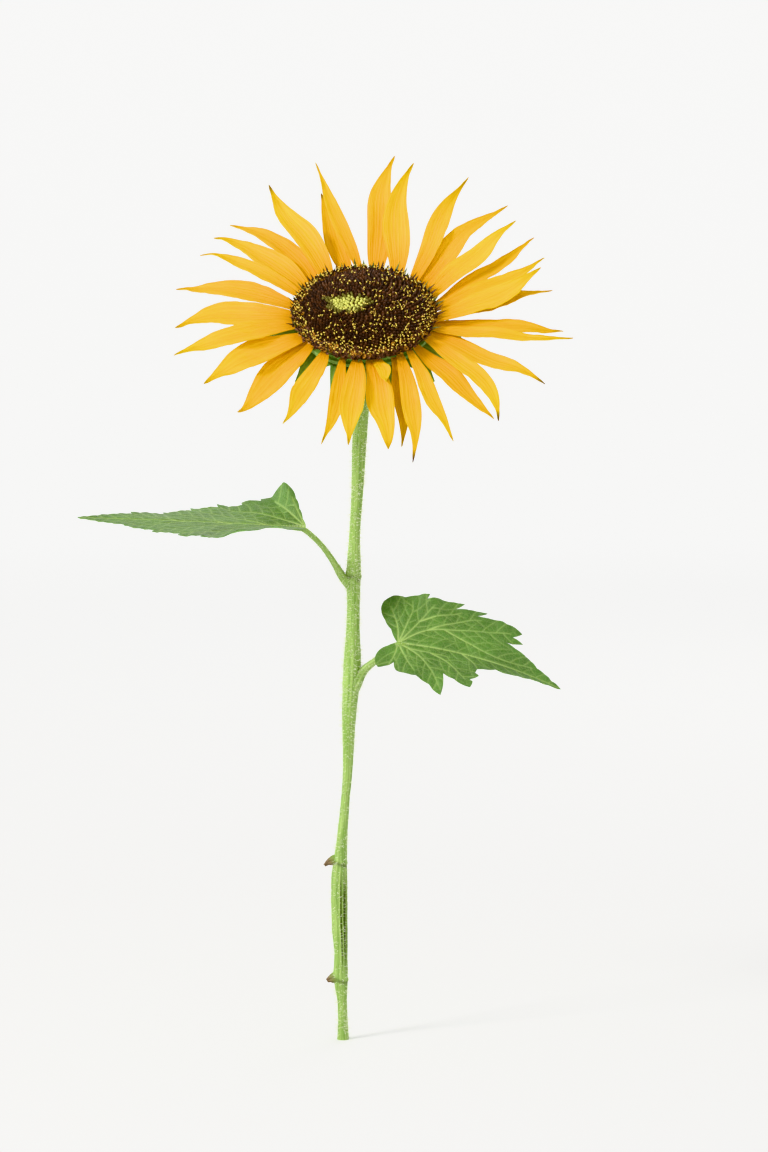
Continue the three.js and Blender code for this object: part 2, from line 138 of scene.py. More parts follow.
# Painted shade on the petals by their tier: how much of the deeper colour of its foot a petal has all over,
# most on the low petals that lie under the others
TIER_SHADES = {"top": 0.0, "middle": 0.15, "low": 0.36}

# Petals whose last part rolls up or down, by number: degrees
TIP_CURLS = {6: 25, 11: 20, 14: -25, 19: 30, 26: -50, 29: -20, 30: -30}

# How withered the tips of some petals are, by number, and of all the others
WITHERED_TIPS = {10: 0.8, 11: 0.7, 26: 1.0, 29: 0.9, 30: 0.8}
USUAL_WITHER = 0.25

# The leaves: the margins and main veins of each flat blade as (along, out) points, and how far each
# half of it hangs, in degrees, at places along its rib from 0 to 1
RIGHT_LEAF = {
    "left": [
        (-6, 10), (-11, 17), (-15, 26), (-14, 32), (-8, 36), (0, 35.5), (8, 37), (16, 37.5), (14, 34),
        (24, 36), (38, 37.5), (30, 32), (41, 34), (53, 35.5), (43, 30.5), (58, 31.5), (66, 30),
        (77, 27), (71, 22), (79, 20), (66, 17), (75, 15), (84, 12), (92, 7), (103, 3), (111, 0),
    ],
    "right": [
        (-6, -3.5), (-11, -7.5), (-13, -13), (-12, -17.5), (-10, -20.5), (-5.6, -19), (-0.4, -15.5),
        (1.5, -21.5), (7, -23.5), (16, -26), (25, -31), (34, -38.5), (33, -21), (41, -25), (52, -31),
        (53, -26), (50, -24), (56, -20), (53, -17), (54, -12.5), (66, -7.5), (72, -9), (80, -7),
        (91, -3.5), (103, -1.5), (111, 0),
    ],
    "veins": [
        [(0, 0), (60, 0), (109, 0)],
        [(0, 0), (15, 11), (34, 16.5), (62, 22.5), (70, 24)],
        [(28, 15), (44, 9.5), (60, 5), (74, 4), (89, 6)],
        [(0, 0), (8, 12), (13, 20), (20, 31)],
        [(12, 18), (22, 23.5), (31, 28), (37, 31)],
        [(17, 12), (30, 20), (45, 27.5), (50, 29)],
        [(0, 0), (4, 16), (6, 25), (5, 33)],
        [(0, 0), (-2, 12), (-6, 22), (-9, 28)],
        [(0, 0), (14, -8), (25, -20), (33, -34)],
        [(0, 0), (8, -3.5), (21, -5), (35, -6)],
        [(0, 0), (7, -12), (14, -22)],
        [(0, 0), (-1, -10), (-4, -19)],
        [(22, -5), (34, -11), (48, -24)],
        [(42, 0), (50, -6), (54, -12)],
    ],
    "length": 111, "curl": -24, "aim": 4, "sway": -8, "ripple": 2.0,
    "left_hang": [(0, 4), (0.4, 2), (1, 0)],
    "right_hang": [(0, 0), (0.4, 20), (1, 42)],
    "at": (36, -6, 263), "heading": -10, "dip": 8, "roll": 47,
}
LEFT_LEAF = {
    "left": [
        (2, 8), (1, 17), (2, 26), (6, 33), (12, 36), (19, 35), (28, 39), (26, 35.5), (38, 36.5), (47, 39),
        (44, 34.5), (54, 37), (64, 38), (60, 32), (70, 34), (79, 34), (75, 28.5), (86, 28), (97, 26),
        (93, 21), (104, 19), (117, 15), (114, 12.5), (128, 8), (140, 3.5), (150, 0),
    ],
    "right": [
        (3, -8), (6, -16), (9, -24), (13, -32), (19, -37), (26, -35), (34, -35.5), (33, -32.5), (40, -34.5),
        (47, -36.5), (45, -32.5), (54, -35), (63, -36), (60, -31), (70, -32), (80, -30), (77, -25.5),
        (88, -25), (97, -23), (94, -18.5), (104, -17), (117, -13.5), (114, -11), (128, -7.5), (140, -3),
        (150, 0),
    ],
    "veins": [
        [(0, 0), (75, 0), (148, 0)],
        [(0, 0), (20, 12), (50, 26), (62, 34)],
        [(0, 0), (10, 14), (18, 30)],
        [(0, 0), (4, 12), (7, 26)],
        [(20, 0), (45, 12), (77, 29)],
        [(48, 0), (70, 12), (95, 22)],
        [(78, 0), (98, 9), (115, 13)],
        [(0, 0), (24, -12), (50, -26), (61, -33)],
        [(0, 0), (12, -14), (24, -30)],
        [(0, 0), (6, -12), (12, -25)],
        [(26, 0), (50, -12), (78, -27)],
        [(54, 0), (74, -11), (95, -20)],
        [(84, 0), (102, -8), (115, -11)],
    ],
    "length": 150, "curl": -2, "aim": 0, "sway": 0, "ripple": 1.5,
    "left_hang": [(0, 22), (0.14, 20), (0.3, 8), (0.55, 11), (1, 4)],
    "right_hang": [(0, 20), (0.06, 4), (0.15, 1), (0.28, -10), (0.4, -12), (0.6, -12), (0.8, -7), (1, -5)],
    "at": (-23.5, -2, 338), "heading": 176, "dip": -3, "roll": -22,
}

# The bowl under the disc from its rim to its neck: radius, depth
BOWL = [
    (RIM_RADIUS, SHOULDER), (RIM_RADIUS, SHOULDER + 2), (40, 9.5), (31, 14), (20, 18.5), (11, 22.5),
    (NECK_RADIUS, NECK_DEPTH),
]

# The disc's unopened heart lies off its middle: x, y in the plane of the head, and its half axes
HEART = (-10.5, 0)
HEART_AXES = (10.5, 6.6)
GOLDEN_ANGLE = math.pi * (3 - math.sqrt(5))

# How many hairs are tried on the stem and on each stalk, how unevenly they lean, and the scales
# round the disc
STEM_HAIRS = 6500
STALK_HAIRS = 700
HAIR_LEAN = 0.28
RIM_SCALES = 96

# The photograph's camera: its lens, how far it stands from its target and how high it looks from
LENS = 100
CAMERA_TARGET = (27, 0, 306)
CAMERA_DISTANCE = 2080
CAMERA_ELEVATION = 5


# Rows of numbers
def stacked(*columns):
    """An array of rows from its columns, any of which may be a single number."""
    return np.stack(np.broadcast_arrays(*columns), axis=-1)


def unit(vectors):
    """Vectors made one long."""
    return vectors / np.linalg.norm(vectors, axis=1)[:, None]


def distances(line):
    """How far along a line each of its points lies."""
    return np.concatenate([[0], np.cumsum(np.linalg.norm(np.diff(line, axis=0), axis=1))])


def nearest(points, places):
    """How far the nearest of some points lies from each place, and its number."""
    tree = KDTree(len(points))
    for number, point in enumerate(points):
        tree.insert(point, number)
    tree.balance()
    found = [tree.find(place) for place in places]
    return np.array([gap for _, _, gap in found]), np.array([number for _, number, _ in found])


# Selecting, shaping and finishing
def pick(obj):
    """Leaves obj alone selected and active."""
    bpy.ops.object.select_all(action="DESELECT")
    obj.select_set(True)
    bpy.context.view_layer.objects.active = obj


def shape(obj, chosen, operator, **settings):
    """Selects the vertices whose place passes a test and runs an edit-mode operator on them."""
    pick(obj)
    bpy.ops.object.mode_set(mode="EDIT")
    bpy.ops.mesh.select_mode(type="VERT")
    bpy.ops.mesh.select_all(action="DESELECT")
    bpy.ops.object.mode_set(mode="OBJECT")
    for vertex in obj.data.vertices:
        vertex.select = chosen(vertex.co)
    bpy.ops.object.mode_set(mode="EDIT")
    operator(**settings)
    bpy.ops.object.mode_set(mode="OBJECT")


def everything(place):
    """A test that every place passes."""
    return True


def apply_modifier(obj, kind, **settings):
    """Adds a modifier of a kind, with its settings, and applies it."""
    pick(obj)
    modifier = obj.modifiers.new(kind.title(), kind)
    for name, value in settings.items():
        setattr(modifier, name, value)
    bpy.ops.object.modifier_apply(modifier=modifier.name)


def linked(name, data):
    """A new object of some data, in the scene."""
    obj = bpy.data.objects.new(name, data)
    bpy.context.scene.collection.objects.link(obj)
    return obj


def mesh_object(name, corners, faces):
    """A mesh object from corner places in metres and faces."""
    mesh = bpy.data.meshes.new(name)
    mesh.from_pydata([tuple(corner) for corner in corners], [], faces)
    mesh.validate()
    return linked(name, mesh)


def places_of(obj):
    """The places of a mesh's vertices as an array."""
    flat = np.empty(len(obj.data.vertices) * 3)
    obj.data.vertices.foreach_get("co", flat)
    return flat.reshape(-1, 3)


def put_places(obj, places):
    """Moves a mesh's vertices to an array of places."""
    obj.data.vertices.foreach_set("co", np.asarray(places, float).ravel())
    obj.data.update()


def normals_of(obj):
    """The normals of a mesh's vertices as an array."""
    flat = np.empty(len(obj.data.vertices) * 3, np.float32)
    obj.data.vertex_normals.foreach_get("vector", flat)
    return flat.reshape(-1, 3).astype(float)


def press(obj, heights):
    """Moves each vertex along its normal by its height in metres."""
    put_places(obj, places_of(obj) + normals_of(obj) * np.asarray(heights)[:, None])


def paint(obj, name, values):
    """Keeps a number at each vertex of a mesh, for its material."""
    layer = obj.data.attributes.new(name, "FLOAT", "POINT")
    layer.data.foreach_set("value", np.asarray(values, np.float32))


def weigh(obj, name, weights):
    """Keeps a weight from 0 to 1 at each vertex of a mesh, as a vertex group."""
    group = obj.vertex_groups.new(name=name)
    for number, weight in enumerate(np.clip(weights, 0, 1)):
        group.add([number], weight, "REPLACE")


def roughen(obj, name, grain, strength, group=""):
    """Moves a surface in and out by soft noise, in millimetres, where a vertex group lets it."""
    noise = bpy.data.textures.get(name) or bpy.data.textures.new(name, "CLOUDS")
    noise.noise_scale = grain * MM
    apply_modifier(obj, "DISPLACE", texture=noise, strength=strength * MM, texture_coords="LOCAL",
                   vertex_group=group)


def clean(obj):
    """Merges doubled vertices and points all faces outwards."""
    shape(obj, everything, bpy.ops.mesh.remove_doubles, threshold=0.005 * MM)
    shape(obj, everything, bpy.ops.mesh.normals_make_consistent, inside=False)


def smooth(obj, angle):
    """Smooth shading, except across edges sharper than an angle."""
    pick(obj)
    bpy.ops.object.shade_smooth_by_angle(angle=math.radians(angle))


def dress(obj, materials):
    """Gives a piece its materials, in order, and leaves the number that each face has alone."""
    for material in materials:
        obj.data.materials.append(material)


def finish(obj, materials, sharp, slot, *nodes):
    """Dresses a piece, smooths it up to an angle, gives it its body and hides the CAD nodes it stands for;
    its slot is not used.
    """
    dress(obj, materials)
    if sharp:
        smooth(obj, sharp)
    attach(obj, "root")
    if nodes:
        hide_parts(*nodes)


# Curves and limbs
def through(points, steps):
    """A centripetal Catmull-Rom curve through points, with so many steps from each to the next."""
    points = np.array(points, float)
    padded = np.vstack([2 * points[0] - points[1], points, 2 * points[-1] - points[-2]])
    s = (np.arange(steps) / steps)[:, None]
    stretches = []
    for before, start, end, after in zip(padded, padded[1:], padded[2:], padded[3:]):
        step_in = math.sqrt(np.linalg.norm(start - before))
        step = math.sqrt(np.linalg.norm(end - start))
        step_out = math.sqrt(np.linalg.norm(after - end))
        leaving = ((start - before) / step_in - (end - before) / (step_in + step)) * step + end - start
        arriving = ((after - end) / step_out - (after - start) / (step + step_out)) * step + end - start
        bend = 3 * (end - start) - 2 * leaving - arriving
        turn = 2 * (start - end) + leaving + arriving
        stretches.append(start + leaving * s + bend * s**2 + turn * s**3)
    return np.vstack([*stretches, points[-1:]])


def poly_curve(name, places, radii=None, tilts=None, twist="Z_UP", closed=False):
    """A curve object of straight stretches through places, with a radius and a tilt at each."""
    data = bpy.data.curves.new(name, "CURVE")
    data.dimensions = "3D"
    data.twist_mode = twist
    spline = data.splines.new("POLY")
    spline.points.add(len(places) - 1)
    spline.use_cyclic_u = closed
    for number, (place, knot) in enumerate(zip(places, spline.points)):
        knot.co = (*place, 1)
        knot.radius = 1 if radii is None else radii[number]
        knot.tilt = 0 if tilts is None else tilts[number]
    return linked(name, data)


def discard(obj):
    """Removes a helper object with its data."""
    data = obj.data
    bpy.data.objects.remove(obj)
    if isinstance(data, bpy.types.Curve):
        bpy.data.curves.remove(data)
    else:
        bpy.data.meshes.remove(data)


def keep_grain(obj, line):
    """Keeps at each vertex of a limb its place on the limb made straight, for patterns that follow it."""
    middle = line[:, :3] * MM
    forward = unit(np.gradient(middle, axis=0))
    side = np.empty_like(middle)
    side[0] = np.cross(forward[0], (0, 1, 0))
    for k in range(1, len(middle)):
        side[k] = side[k - 1] - forward[k] * (side[k - 1] @ forward[k])
    side = unit(side)
    places = places_of(obj)
    _, near = nearest(middle, places)
    axes = (side[near], np.cross(forward[near], side[near]), forward[near])
    aside, above, ahead = (np.sum((places - middle[near]) * axis, axis=1) for axis in axes)
    grain = stacked(aside, above, distances(middle)[near] + ahead)
    layer = obj.data.attributes.new("grain", "FLOAT_VECTOR", "POINT")
    layer.data.foreach_set("vector", grain.astype(np.float32).ravel())


def limb(name, course, section, steps, twist="Z_UP"):
    """A limb along a course of x, y, z, radius points in millimetres, with a cross-section of its own."""
    line = through(course, steps)
    spine = poly_curve(name, line[:, :3] * MM, line[:, 3] * MM, twist=twist)
    outline = poly_curve(name + "_section", section, closed=True)
    spine.data.bevel_mode = "OBJECT"
    spine.data.bevel_object = outline
    spine.data.use_fill_caps = True
    pick(spine)
    bpy.ops.object.convert(target="MESH")
    obj = bpy.context.object
    discard(outline)
    clean(obj)
    return obj, line


def ribbed_section(ribs, relief, points, channel=0.0):
    """A round cross-section of radius 1 with ribs, and a channel along its top if it has one."""
    angles = 2 * np.pi * np.arange(points) / points
    from_top = (angles + np.pi / 2) % (2 * np.pi) - np.pi
    radius = 1 + relief * np.cos(ribs * angles) - channel * np.exp(-((from_top / 0.5) ** 2))
    return stacked(radius * np.cos(angles), radius * np.sin(angles), 0)


# Many copies of one small shape
def settle(obj):
    """Puts an object's place, turn and size into its mesh."""
    pick(obj)
    bpy.ops.object.transform_apply(location=True, rotation=True, scale=True)


def cone(sides, low, high, bottom, top):
    """A small cone or prism round the Z axis, from the radii and the heights of its two ends."""
    bpy.ops.mesh.primitive_cone_add(vertices=sides, radius1=low, radius2=high, depth=top - bottom,
                                    location=(0, 0, (bottom + top) / 2))
    obj = bpy.context.object
    settle(obj)
    return obj


def draw_out(obj, move, size=(1, 1, 1)):
    """Draws the top of a small shape out and sizes its new end."""
    top = max(vertex.co.z for vertex in obj.data.vertices)
    near = 0.01
    shape(obj, lambda co: co.z > top - near, bpy.ops.mesh.extrude_region_move,
          TRANSFORM_OT_translate={"value": move})
    shape(obj, lambda co: co.z > top + near, bpy.ops.transform.resize, value=size,
          center_override=(0, 0, top + move[2]))


def shape_of(obj):
    """The corners and faces of a small object, which is then removed."""
    corners = places_of(obj)
    faces = [tuple(face.vertices) for face in obj.data.polygons]
    discard(obj)
    return corners, faces


def aimed(places, directions, sizes, spins):
    """Matrices that put a small shape at places, its +Z along directions, with its sizes and spins."""
    ahead = unit(directions)
    beside = np.where(np.abs(ahead[:, 2:]) > 0.9, (1.0, 0.0, 0.0), (0.0, 0.0, 1.0))
    first = unit(np.cross(beside, ahead))
    second = np.cross(ahead, first)
    cos, sin = np.cos(spins)[:, None], np.sin(spins)[:, None]
    matrices = np.zeros((len(places), 4, 4))
    matrices[:, :3, 0] = (first * cos + second * sin) * sizes[:, :1]
    matrices[:, :3, 1] = (second * cos - first * sin) * sizes[:, 1:2]
    matrices[:, :3, 2] = ahead * sizes[:, 2:]
    matrices[:, :3, 3] = places
    matrices[:, 3, 3] = 1
    return matrices


def joined(name, small, matrices, kinds=None):
    """One mesh of many copies of a small shape, each with the number of its own material."""
    corners, faces = small
    placed = np.einsum("kij,nj->kni", matrices[:, :3, :3], corners) + matrices[:, None, :3, 3]
    every = [
        tuple(corner + copy * len(corners) for corner in face)
        for copy in range(len(matrices)) for face in faces
    ]
    obj = mesh_object(name, placed.reshape(-1, 3), every)
    if kinds is not None:
        obj.data.polygons.foreach_set("material_index", np.repeat(kinds, len(faces)).astype(np.int32))
    return obj


def bristle_shape():
    """A bent three-sided hair one unit long, with its foot at the origin."""
    hair = cone(3, 1, 0.6, -0.05, 0.55)
    draw_out(hair, (0.5, 0, 0.45))
    shape(hair, lambda co: co.z > 0.9, bpy.ops.mesh.merge, type="CENTER")
    return shape_of(hair)


def bristles(name, host, count, length, girth, seed, density):
    """Stiff hairs on a piece, as one mesh: density gives the chance of a hair from place and normal."""
    host.data.calc_loop_triangles()
    triangles = np.array([triangle.vertices for triangle in host.data.loop_triangles])
    a, b, c = np.moveaxis(places_of(host)[triangles], 1, 0)
    normals = np.cross(b - a, c - a)
    areas = np.linalg.norm(normals, axis=1) + 1e-15
    draw = np.random.default_rng(seed)
    chosen = draw.choice(len(triangles), count, p=areas / areas.sum())
    u, v = draw.random((2, count))
    over = u + v > 1
    u, v = np.where(over, 1 - u, u), np.where(over, 1 - v, v)
    places = a[chosen] + (b - a)[chosen] * u[:, None] + (c - a)[chosen] * v[:, None]
    normals = (normals / areas[:, None])[chosen]
    kept = draw.random(count) < density(places, normals)
    places, normals = places[kept], normals[kept]
    directions = normals + draw.normal(0, HAIR_LEAN, places.shape)
    longer = length * draw.uniform(0.55, 1.0, len(places))
    thicker = girth * draw.uniform(0.7, 1.0, len(places))
    sizes = stacked(thicker, thicker, longer) * MM
    matrices = aimed(places, directions, sizes, draw.uniform(0, 2 * np.pi, len(places)))
    return joined(name, bristle_shape(), matrices)


# Shader nodes
def feed(tree, node, feeds):
    """Feeds a node's sockets with values or other nodes' outputs."""
    for socket, value in dict(feeds).items():
        if isinstance(value, bpy.types.NodeSocket):
            tree.links.new(value, node.inputs[socket])
        else:
            node.inputs[socket].default_value = value
    return node


def add(tree, kind, feeds=(), **settings):
    """Adds a node with its settings and feeds its sockets."""
    made = tree.nodes.new("ShaderNode" + kind)
    for name, value in settings.items():
        setattr(made, name, value)
    return feed(tree, made, feeds)


def ranged(tree, value, low, high, first=0.0, last=1.0):
    """A value between two numbers stretched to run between two others."""
    feeds = {"Value": value, "From Min": low, "From Max": high, "To Min": first, "To Max": last}
    return add(tree, "MapRange", feeds).outputs[0]


def scaled(tree, mask, first, last):
    """A mask stretched to run from one number to another."""
    return ranged(tree, mask, 0.0, 1.0, first, last)


def summed(tree, first, second, share=1.0):
    """One height plus a share of another."""
    return add(tree, "Math", {0: second, 1: share, 2: first}, operation="MULTIPLY_ADD").outputs[0]


def blended(tree, factor, first, second):
    """A colour between two others."""
    return add(tree, "Mix", {0: factor, 6: first, 7: second}, data_type="RGBA").outputs[2]


def layered(tree, skin, *layers):
    """A colour with others laid over it in turn, each by a mask and the most that it covers."""
    for mask, most, colour in layers:
        skin = blended(tree, scaled(tree, mask, 0.0, most), skin, colour)
    return skin


def mask_group(name, inputs):
    """An empty shader node group with named inputs and a mask as its output: it and its two ends."""
    group = bpy.data.node_groups.new(name, "ShaderNodeTree")
    for socket, kind in inputs.items():
        group.interface.new_socket(name=socket, in_out="INPUT", socket_type="NodeSocket" + kind)
    group.interface.new_socket(name="Mask", in_out="OUTPUT", socket_type="NodeSocketFloat")
    given, result = group.nodes.new("NodeGroupInput"), group.nodes.new("NodeGroupOutput")
    return group, given.outputs, result.inputs["Mask"]


def mottle_group(name):
    """Uneven patches, or streaks where the scale is uneven, as a mask."""
    inputs = {"Vector": "Vector", "Scale": "Vector", "Low": "Float", "High": "Float"}
    group, given, mask = mask_group(name, inputs)
    spread = add(group, "VectorMath", {0: given["Vector"], 1: given["Scale"]}, operation="MULTIPLY")
    noise = add(group, "TexNoise", {"Vector": spread.outputs[0], "Scale": 1.0, "Detail": 4.0})
    group.links.new(ranged(group, noise.outputs["Fac"], given["Low"], given["High"]), mask)


def net_group(name):
    """A net of fine veins as a mask, its lines bent a little by soft noise."""
    group, given, mask = mask_group(name, {"Vector": "Vector", "Scale": "Float", "Width": "Float"})
    drift = add(group, "TexNoise", {"Vector": given["Vector"], "Scale": given["Scale"]})
    feeds = {0: drift.outputs["Color"], 1: (0.008, 0.008, 0.008), 2: given["Vector"]}
    bent = add(group, "VectorMath", feeds, operation="MULTIPLY_ADD")
    cells = add(group, "TexVoronoi", {"Vector": bent.outputs[0], "Scale": given["Scale"]},
                feature="DISTANCE_TO_EDGE")
    group.links.new(ranged(group, cells.outputs["Distance"], 0.0, given["Width"], 1.0, 0.0), mask)


def grouped(tree, make, name, **feeds):
    """Places a shader group in a tree, made if it isn't there yet, and gives its mask."""
    if name not in bpy.data.node_groups:
        make(name)
    placed = tree.nodes.new("ShaderNodeGroup")
    placed.node_tree = bpy.data.node_groups[name]
    return feed(tree, placed, feeds).outputs[0]


def mottle(tree, place, scale, low=0.3, high=0.7):
    """Uneven patches as a mask, as fine as their scale, which may differ by axis."""
    scale = [float(axis) for axis in np.broadcast_to(scale, 3)]
    return grouped(tree, mottle_group, "Mottle", Vector=place, Scale=scale, Low=low, High=high)


def vein_net(tree, place, scale, width):
    """A net of fine veins as a mask."""
    return grouped(tree, net_group, "Vein net", Vector=place, Scale=scale, Width=width)


def attribute(tree, name, output="Fac"):
    """What is kept at each vertex under a name."""
    return add(tree, "Attribute", attribute_name=name).outputs[output]


def coordinates(tree, kind="Object"):
    """The place of each point of a surface, in its object or on its flat blade."""
    return add(tree, "TexCoord").outputs[kind]


def new_material(name):
    """A material with an empty node tree."""
    material = bpy.data.materials.new(name)
    material.use_nodes = True
    material.node_tree.nodes.clear()
    return material, material.node_tree


def close(material, colour, roughness, height=None, relief=0.0, flesh=None, **constants):
    """Ends a material: colour, roughness, a bump in millimetres, how light seeps through, and constants."""
    tree = material.node_tree
    feeds = {"Base Color": colour, "Roughness": roughness}
    feeds.update({name.replace("_", " "): value for name, value in constants.items()})
    if flesh:
        feeds.update({"Subsurface Weight": flesh[0], "Subsurface Radius": flesh[1:], "Subsurface Scale": MM})
    if height is not None:
        feeds["Normal"] = add(tree, "Bump", {"Height": height, "Distance": relief * MM}).outputs[0]
    shader = add(tree, "BsdfPrincipled", feeds)
    tree.links.new(shader.outputs[0], add(tree, "OutputMaterial").inputs["Surface"])
    return material


def opaque(colour, share=1.0):
    """A colour with its alpha, darker or lighter by a share."""
    return (*(min(1.0, part * share) for part in colour[:3]), 1.0)


def stem_material(name, colour, streak, stretch=1.0):
    """Green skin of a stem or stalk: streaked along its grain, flecked and slightly rough, with painted
    shade where its shade mark lies, in the stem's furrow and under its collars.
    """
    material, tree = new_material(name)
    grain = attribute(tree, "grain", "Vector")
    streaks = mottle(tree, grain, (620, 620, 26 * stretch), 0.36, 0.66)
    patches = mottle(tree, grain, (60, 60, 14))
    flecks = mottle(tree, grain, (1500, 1500, 500), 0.62)
    skin = layered(tree, opaque(colour), (streaks, 1.0, opaque(streak)), (patches, 0.4, opaque(colour, 1.5)),
                   (flecks, 0.55, opaque((0.16, 0.1, 0.05))),
                   (attribute(tree, "shade"), 0.75, opaque((0.035, 0.045, 0.012))))
    height = summed(tree, streaks, flecks, 0.8)
    return close(material, skin, scaled(tree, patches, 0.5, 0.68), height, 0.12, flesh=(0.08, 0.8, 1.0, 0.3))


def stub_material(colour, green):
    """Broken stalk: green at its foot and dry grey-brown fibres at its end."""
    material, tree = new_material("dry_stub")
    grain = attribute(tree, "grain", "Vector")
    fibres = mottle(tree, grain, (1100, 1100, 60), 0.35, 0.65)
    patches = mottle(tree, grain, (150, 150, 90), 0.35)
    skin = layered(tree, opaque(colour), (fibres, 1.0, opaque(colour, 0.42)),
                   (patches, 0.6, opaque((0.05, 0.03, 0.016))))
    worn = summed(tree, add(tree, "SeparateXYZ", {0: grain}).outputs["Z"], patches, 2 * MM)
    skin = blended(tree, ranged(tree, worn, 4 * MM, 9 * MM), opaque(green), skin)
    return close(material, skin, scaled(tree, fibres, 0.7, 0.9), fibres, 0.3)


def leaf_material(name, colour, vein_colour, gloss, relief):
    """One face of a leaf blade: pale veins, a fine net between them and uneven green."""
    material, tree = new_material(name)
    flat, solid = coordinates(tree, "UV"), coordinates(tree)
    patches = mottle(tree, solid, 70, high=0.72)
    speckle = mottle(tree, solid, 1400)
    coarse = vein_net(tree, flat, 62.0, 0.07)
    fine = vein_net(tree, flat, 170.0, 0.12)
    skin = layered(tree, opaque(colour), (patches, 1.0, opaque(colour, 1.55)),
                   (speckle, 0.2, opaque(colour, 0.55)), (fine, 0.1, opaque(vein_colour)),
                   (coarse, 0.2, opaque(vein_colour)),
                   (attribute(tree, "vein"), 1.0, opaque(vein_colour, 1.12)))
    height = summed(tree, summed(tree, scaled(tree, coarse, 1.0, 0.0), fine, -0.35), speckle, 0.3)
    return close(material, skin, scaled(tree, speckle, gloss, gloss + 0.16), height, relief,
                 flesh=(0.1, 0.5, 1.0, 0.2), Sheen_Weight=0.08)


def petal_material(name, base, middle, tip, streak_and_shade):
    """One face of a petal: orange at its foot and golden beyond, with fine ribs along it, darker along its
    ribs and broad grooves where its bump sinks, partly its own streaks and partly painted shade.
    """
    material, tree = new_material(name)
    flat = coordinates(tree, "UV")
    along = add(tree, "SeparateXYZ", {0: flat}).outputs["X"]
    ribs = mottle(tree, flat, (2.2, 46, 1), 0.33, 0.67)
    broad = mottle(tree, flat, (0.9, 13, 1), 0.38, 0.64)
    dry = ranged(tree, summed(tree, along, ribs, 0.05), 0.93, 1.0)
    dry = add(tree, "Math", {0: dry, 1: attribute(tree, "wither")}, operation="MULTIPLY").outputs[0]
    # Besides its own colours, a petal is deepened all over by the painted shade that its tier sets
    skin = layered(tree, opaque(base), (ranged(tree, along, 0.02, 0.4), 1.0, opaque(middle)),
                   (ranged(tree, along, 0.45, 1.0), 1.0, opaque(tip)),
                   (mottle(tree, coordinates(tree), 26), 0.25, opaque(base, 1.1)),
                   (attribute(tree, "shade_and_tone"), 1.0, opaque(base)), (broad, 0.42, opaque(streak_and_shade)),
                   (ribs, 0.36, opaque(streak_and_shade, 0.9)), (dry, 1.0, opaque((0.1, 0.04, 0.012))))
    height = summed(tree, scaled(tree, ribs, 0.5, 0.0), scaled(tree, broad, 1.0, 0.0))
    return close(material, skin, scaled(tree, ribs, 0.48, 0.66), height, 0.35, flesh=(0.12, 1.0, 0.8, 0.1),
                 Specular_IOR_Level=0.22, Sheen_Weight=0.04)


def bract_material(colour):
    """Hairy green of the bracts and the receptacle, a little paler along its ribs."""
    material, tree = new_material("bract_skin")
    solid = coordinates(tree)
    speckle = mottle(tree, solid, 900)
    skin = layered(tree, opaque(colour), (mottle(tree, solid, 90), 1.0, opaque(colour, 1.5)),
                   (speckle, 0.25, opaque(colour, 0.55)),
                   (attribute(tree, "rib"), 0.5, opaque((0.42, 0.52, 0.2))))
    return close(material, skin, scaled(tree, speckle, 0.52, 0.72), speckle, 0.12,
                 flesh=(0.06, 0.5, 1.0, 0.2))


def plain_material(name, colour, roughness, shade=1.0):
    """A small part's own plain colour, darker or lighter by a share, with a fine uneven surface."""
    material, tree = new_material(name)
    speckle = mottle(tree, coordinates(tree), 600)
    rough = scaled(tree, speckle, roughness - 0.08, roughness + 0.08)
    return close(material, opaque(colour, shade), rough, speckle, 0.06)


# Stem, stalks and stubs
def behind_head(depth, radius):
    """A point of the stem's course behind the head on its axis, in millimetres."""
    return (*(HEAD @ Vector((0, 0, -depth * MM)) / MM), radius)


def build_stem(look):
    """The ridged stem, cut flat at the ground and run into the neck of the head."""
    course = [*STEM_COURSE, behind_head(NECK_DEPTH + 4, 6), behind_head(NECK_DEPTH - 1, NECK_RADIUS)]
    stem, line = limb("stem_skin", course, ribbed_section(13, 0.035, 78), 14, twist="MINIMUM")
    shape(stem, everything, bpy.ops.mesh.bisect, plane_co=(0, 0, 0), plane_no=(0, 0, 1),
          use_fill=True, clear_inner=True)
    keep_grain(stem, line)
    # Painted shade, kept as the shade mark: dark in the furrow and in a line under each collar
    shade = furrow(stem)
    for height in COLLARS:
        shade = np.maximum(shade, collar(stem, height))
    paint(stem, "shade", shade)
    weigh(stem, "above ground", places_of(stem)[:, 2] / (3 * MM))
    roughen(stem, "stem lumps", 7, 0.5, "above ground")
    finish(stem, [stem_material("stem_green", look.stem_colour, look.stem_streak)], 50, "stem", "stem")
    return stem


def furrow(stem):
    """A hollow down the right side of the stem's lowest full stretch; gives its depth at each vertex, which
    is painted on the stem as shade.
    """
    low, high = 43 * MM, 115 * MM
    along = np.clip((places_of(stem)[:, 2] - low) / (high - low), 0, 1)
    facing = normals_of(stem) @ np.array(Vector((0.72, -0.69, 0)).normalized())
    depth = np.sin(np.pi * along) * np.exp(-(((1 - facing) / 0.09) ** 2))
    press(stem, -2.1 * MM * depth)
    return depth


def collar(stem, height):
    """A raised scar round the front of the stem where a leaf stalk was, with a line of painted shade under
    it; gives that shade at each vertex.
    """
    places, normals = places_of(stem) / MM, normals_of(stem)
    front = np.clip(0.75 - normals[:, 1] - 0.35 * normals[:, 0], 0, 1)
    above = places[:, 2] - height + 0.35 * places[:, 0]
    press(stem, 0.9 * MM * front * np.exp(-((above / 1.3) ** 2)))
    return 0.9 * front * np.exp(-(((above + 2.2) / 1.0) ** 2))


def build_stalk(name, course, look, node):
    """A leaf stalk, channelled along its top."""
    stalk, line = limb(name, course, ribbed_section(9, 0.03, 54, channel=0.3), 14)
    keep_grain(stalk, line)
    skin = stem_material(name + "_green", look.stem_colour, look.stem_streak, stretch=1.6)
    finish(stalk, [skin], 50, "stem", node)
    return stalk


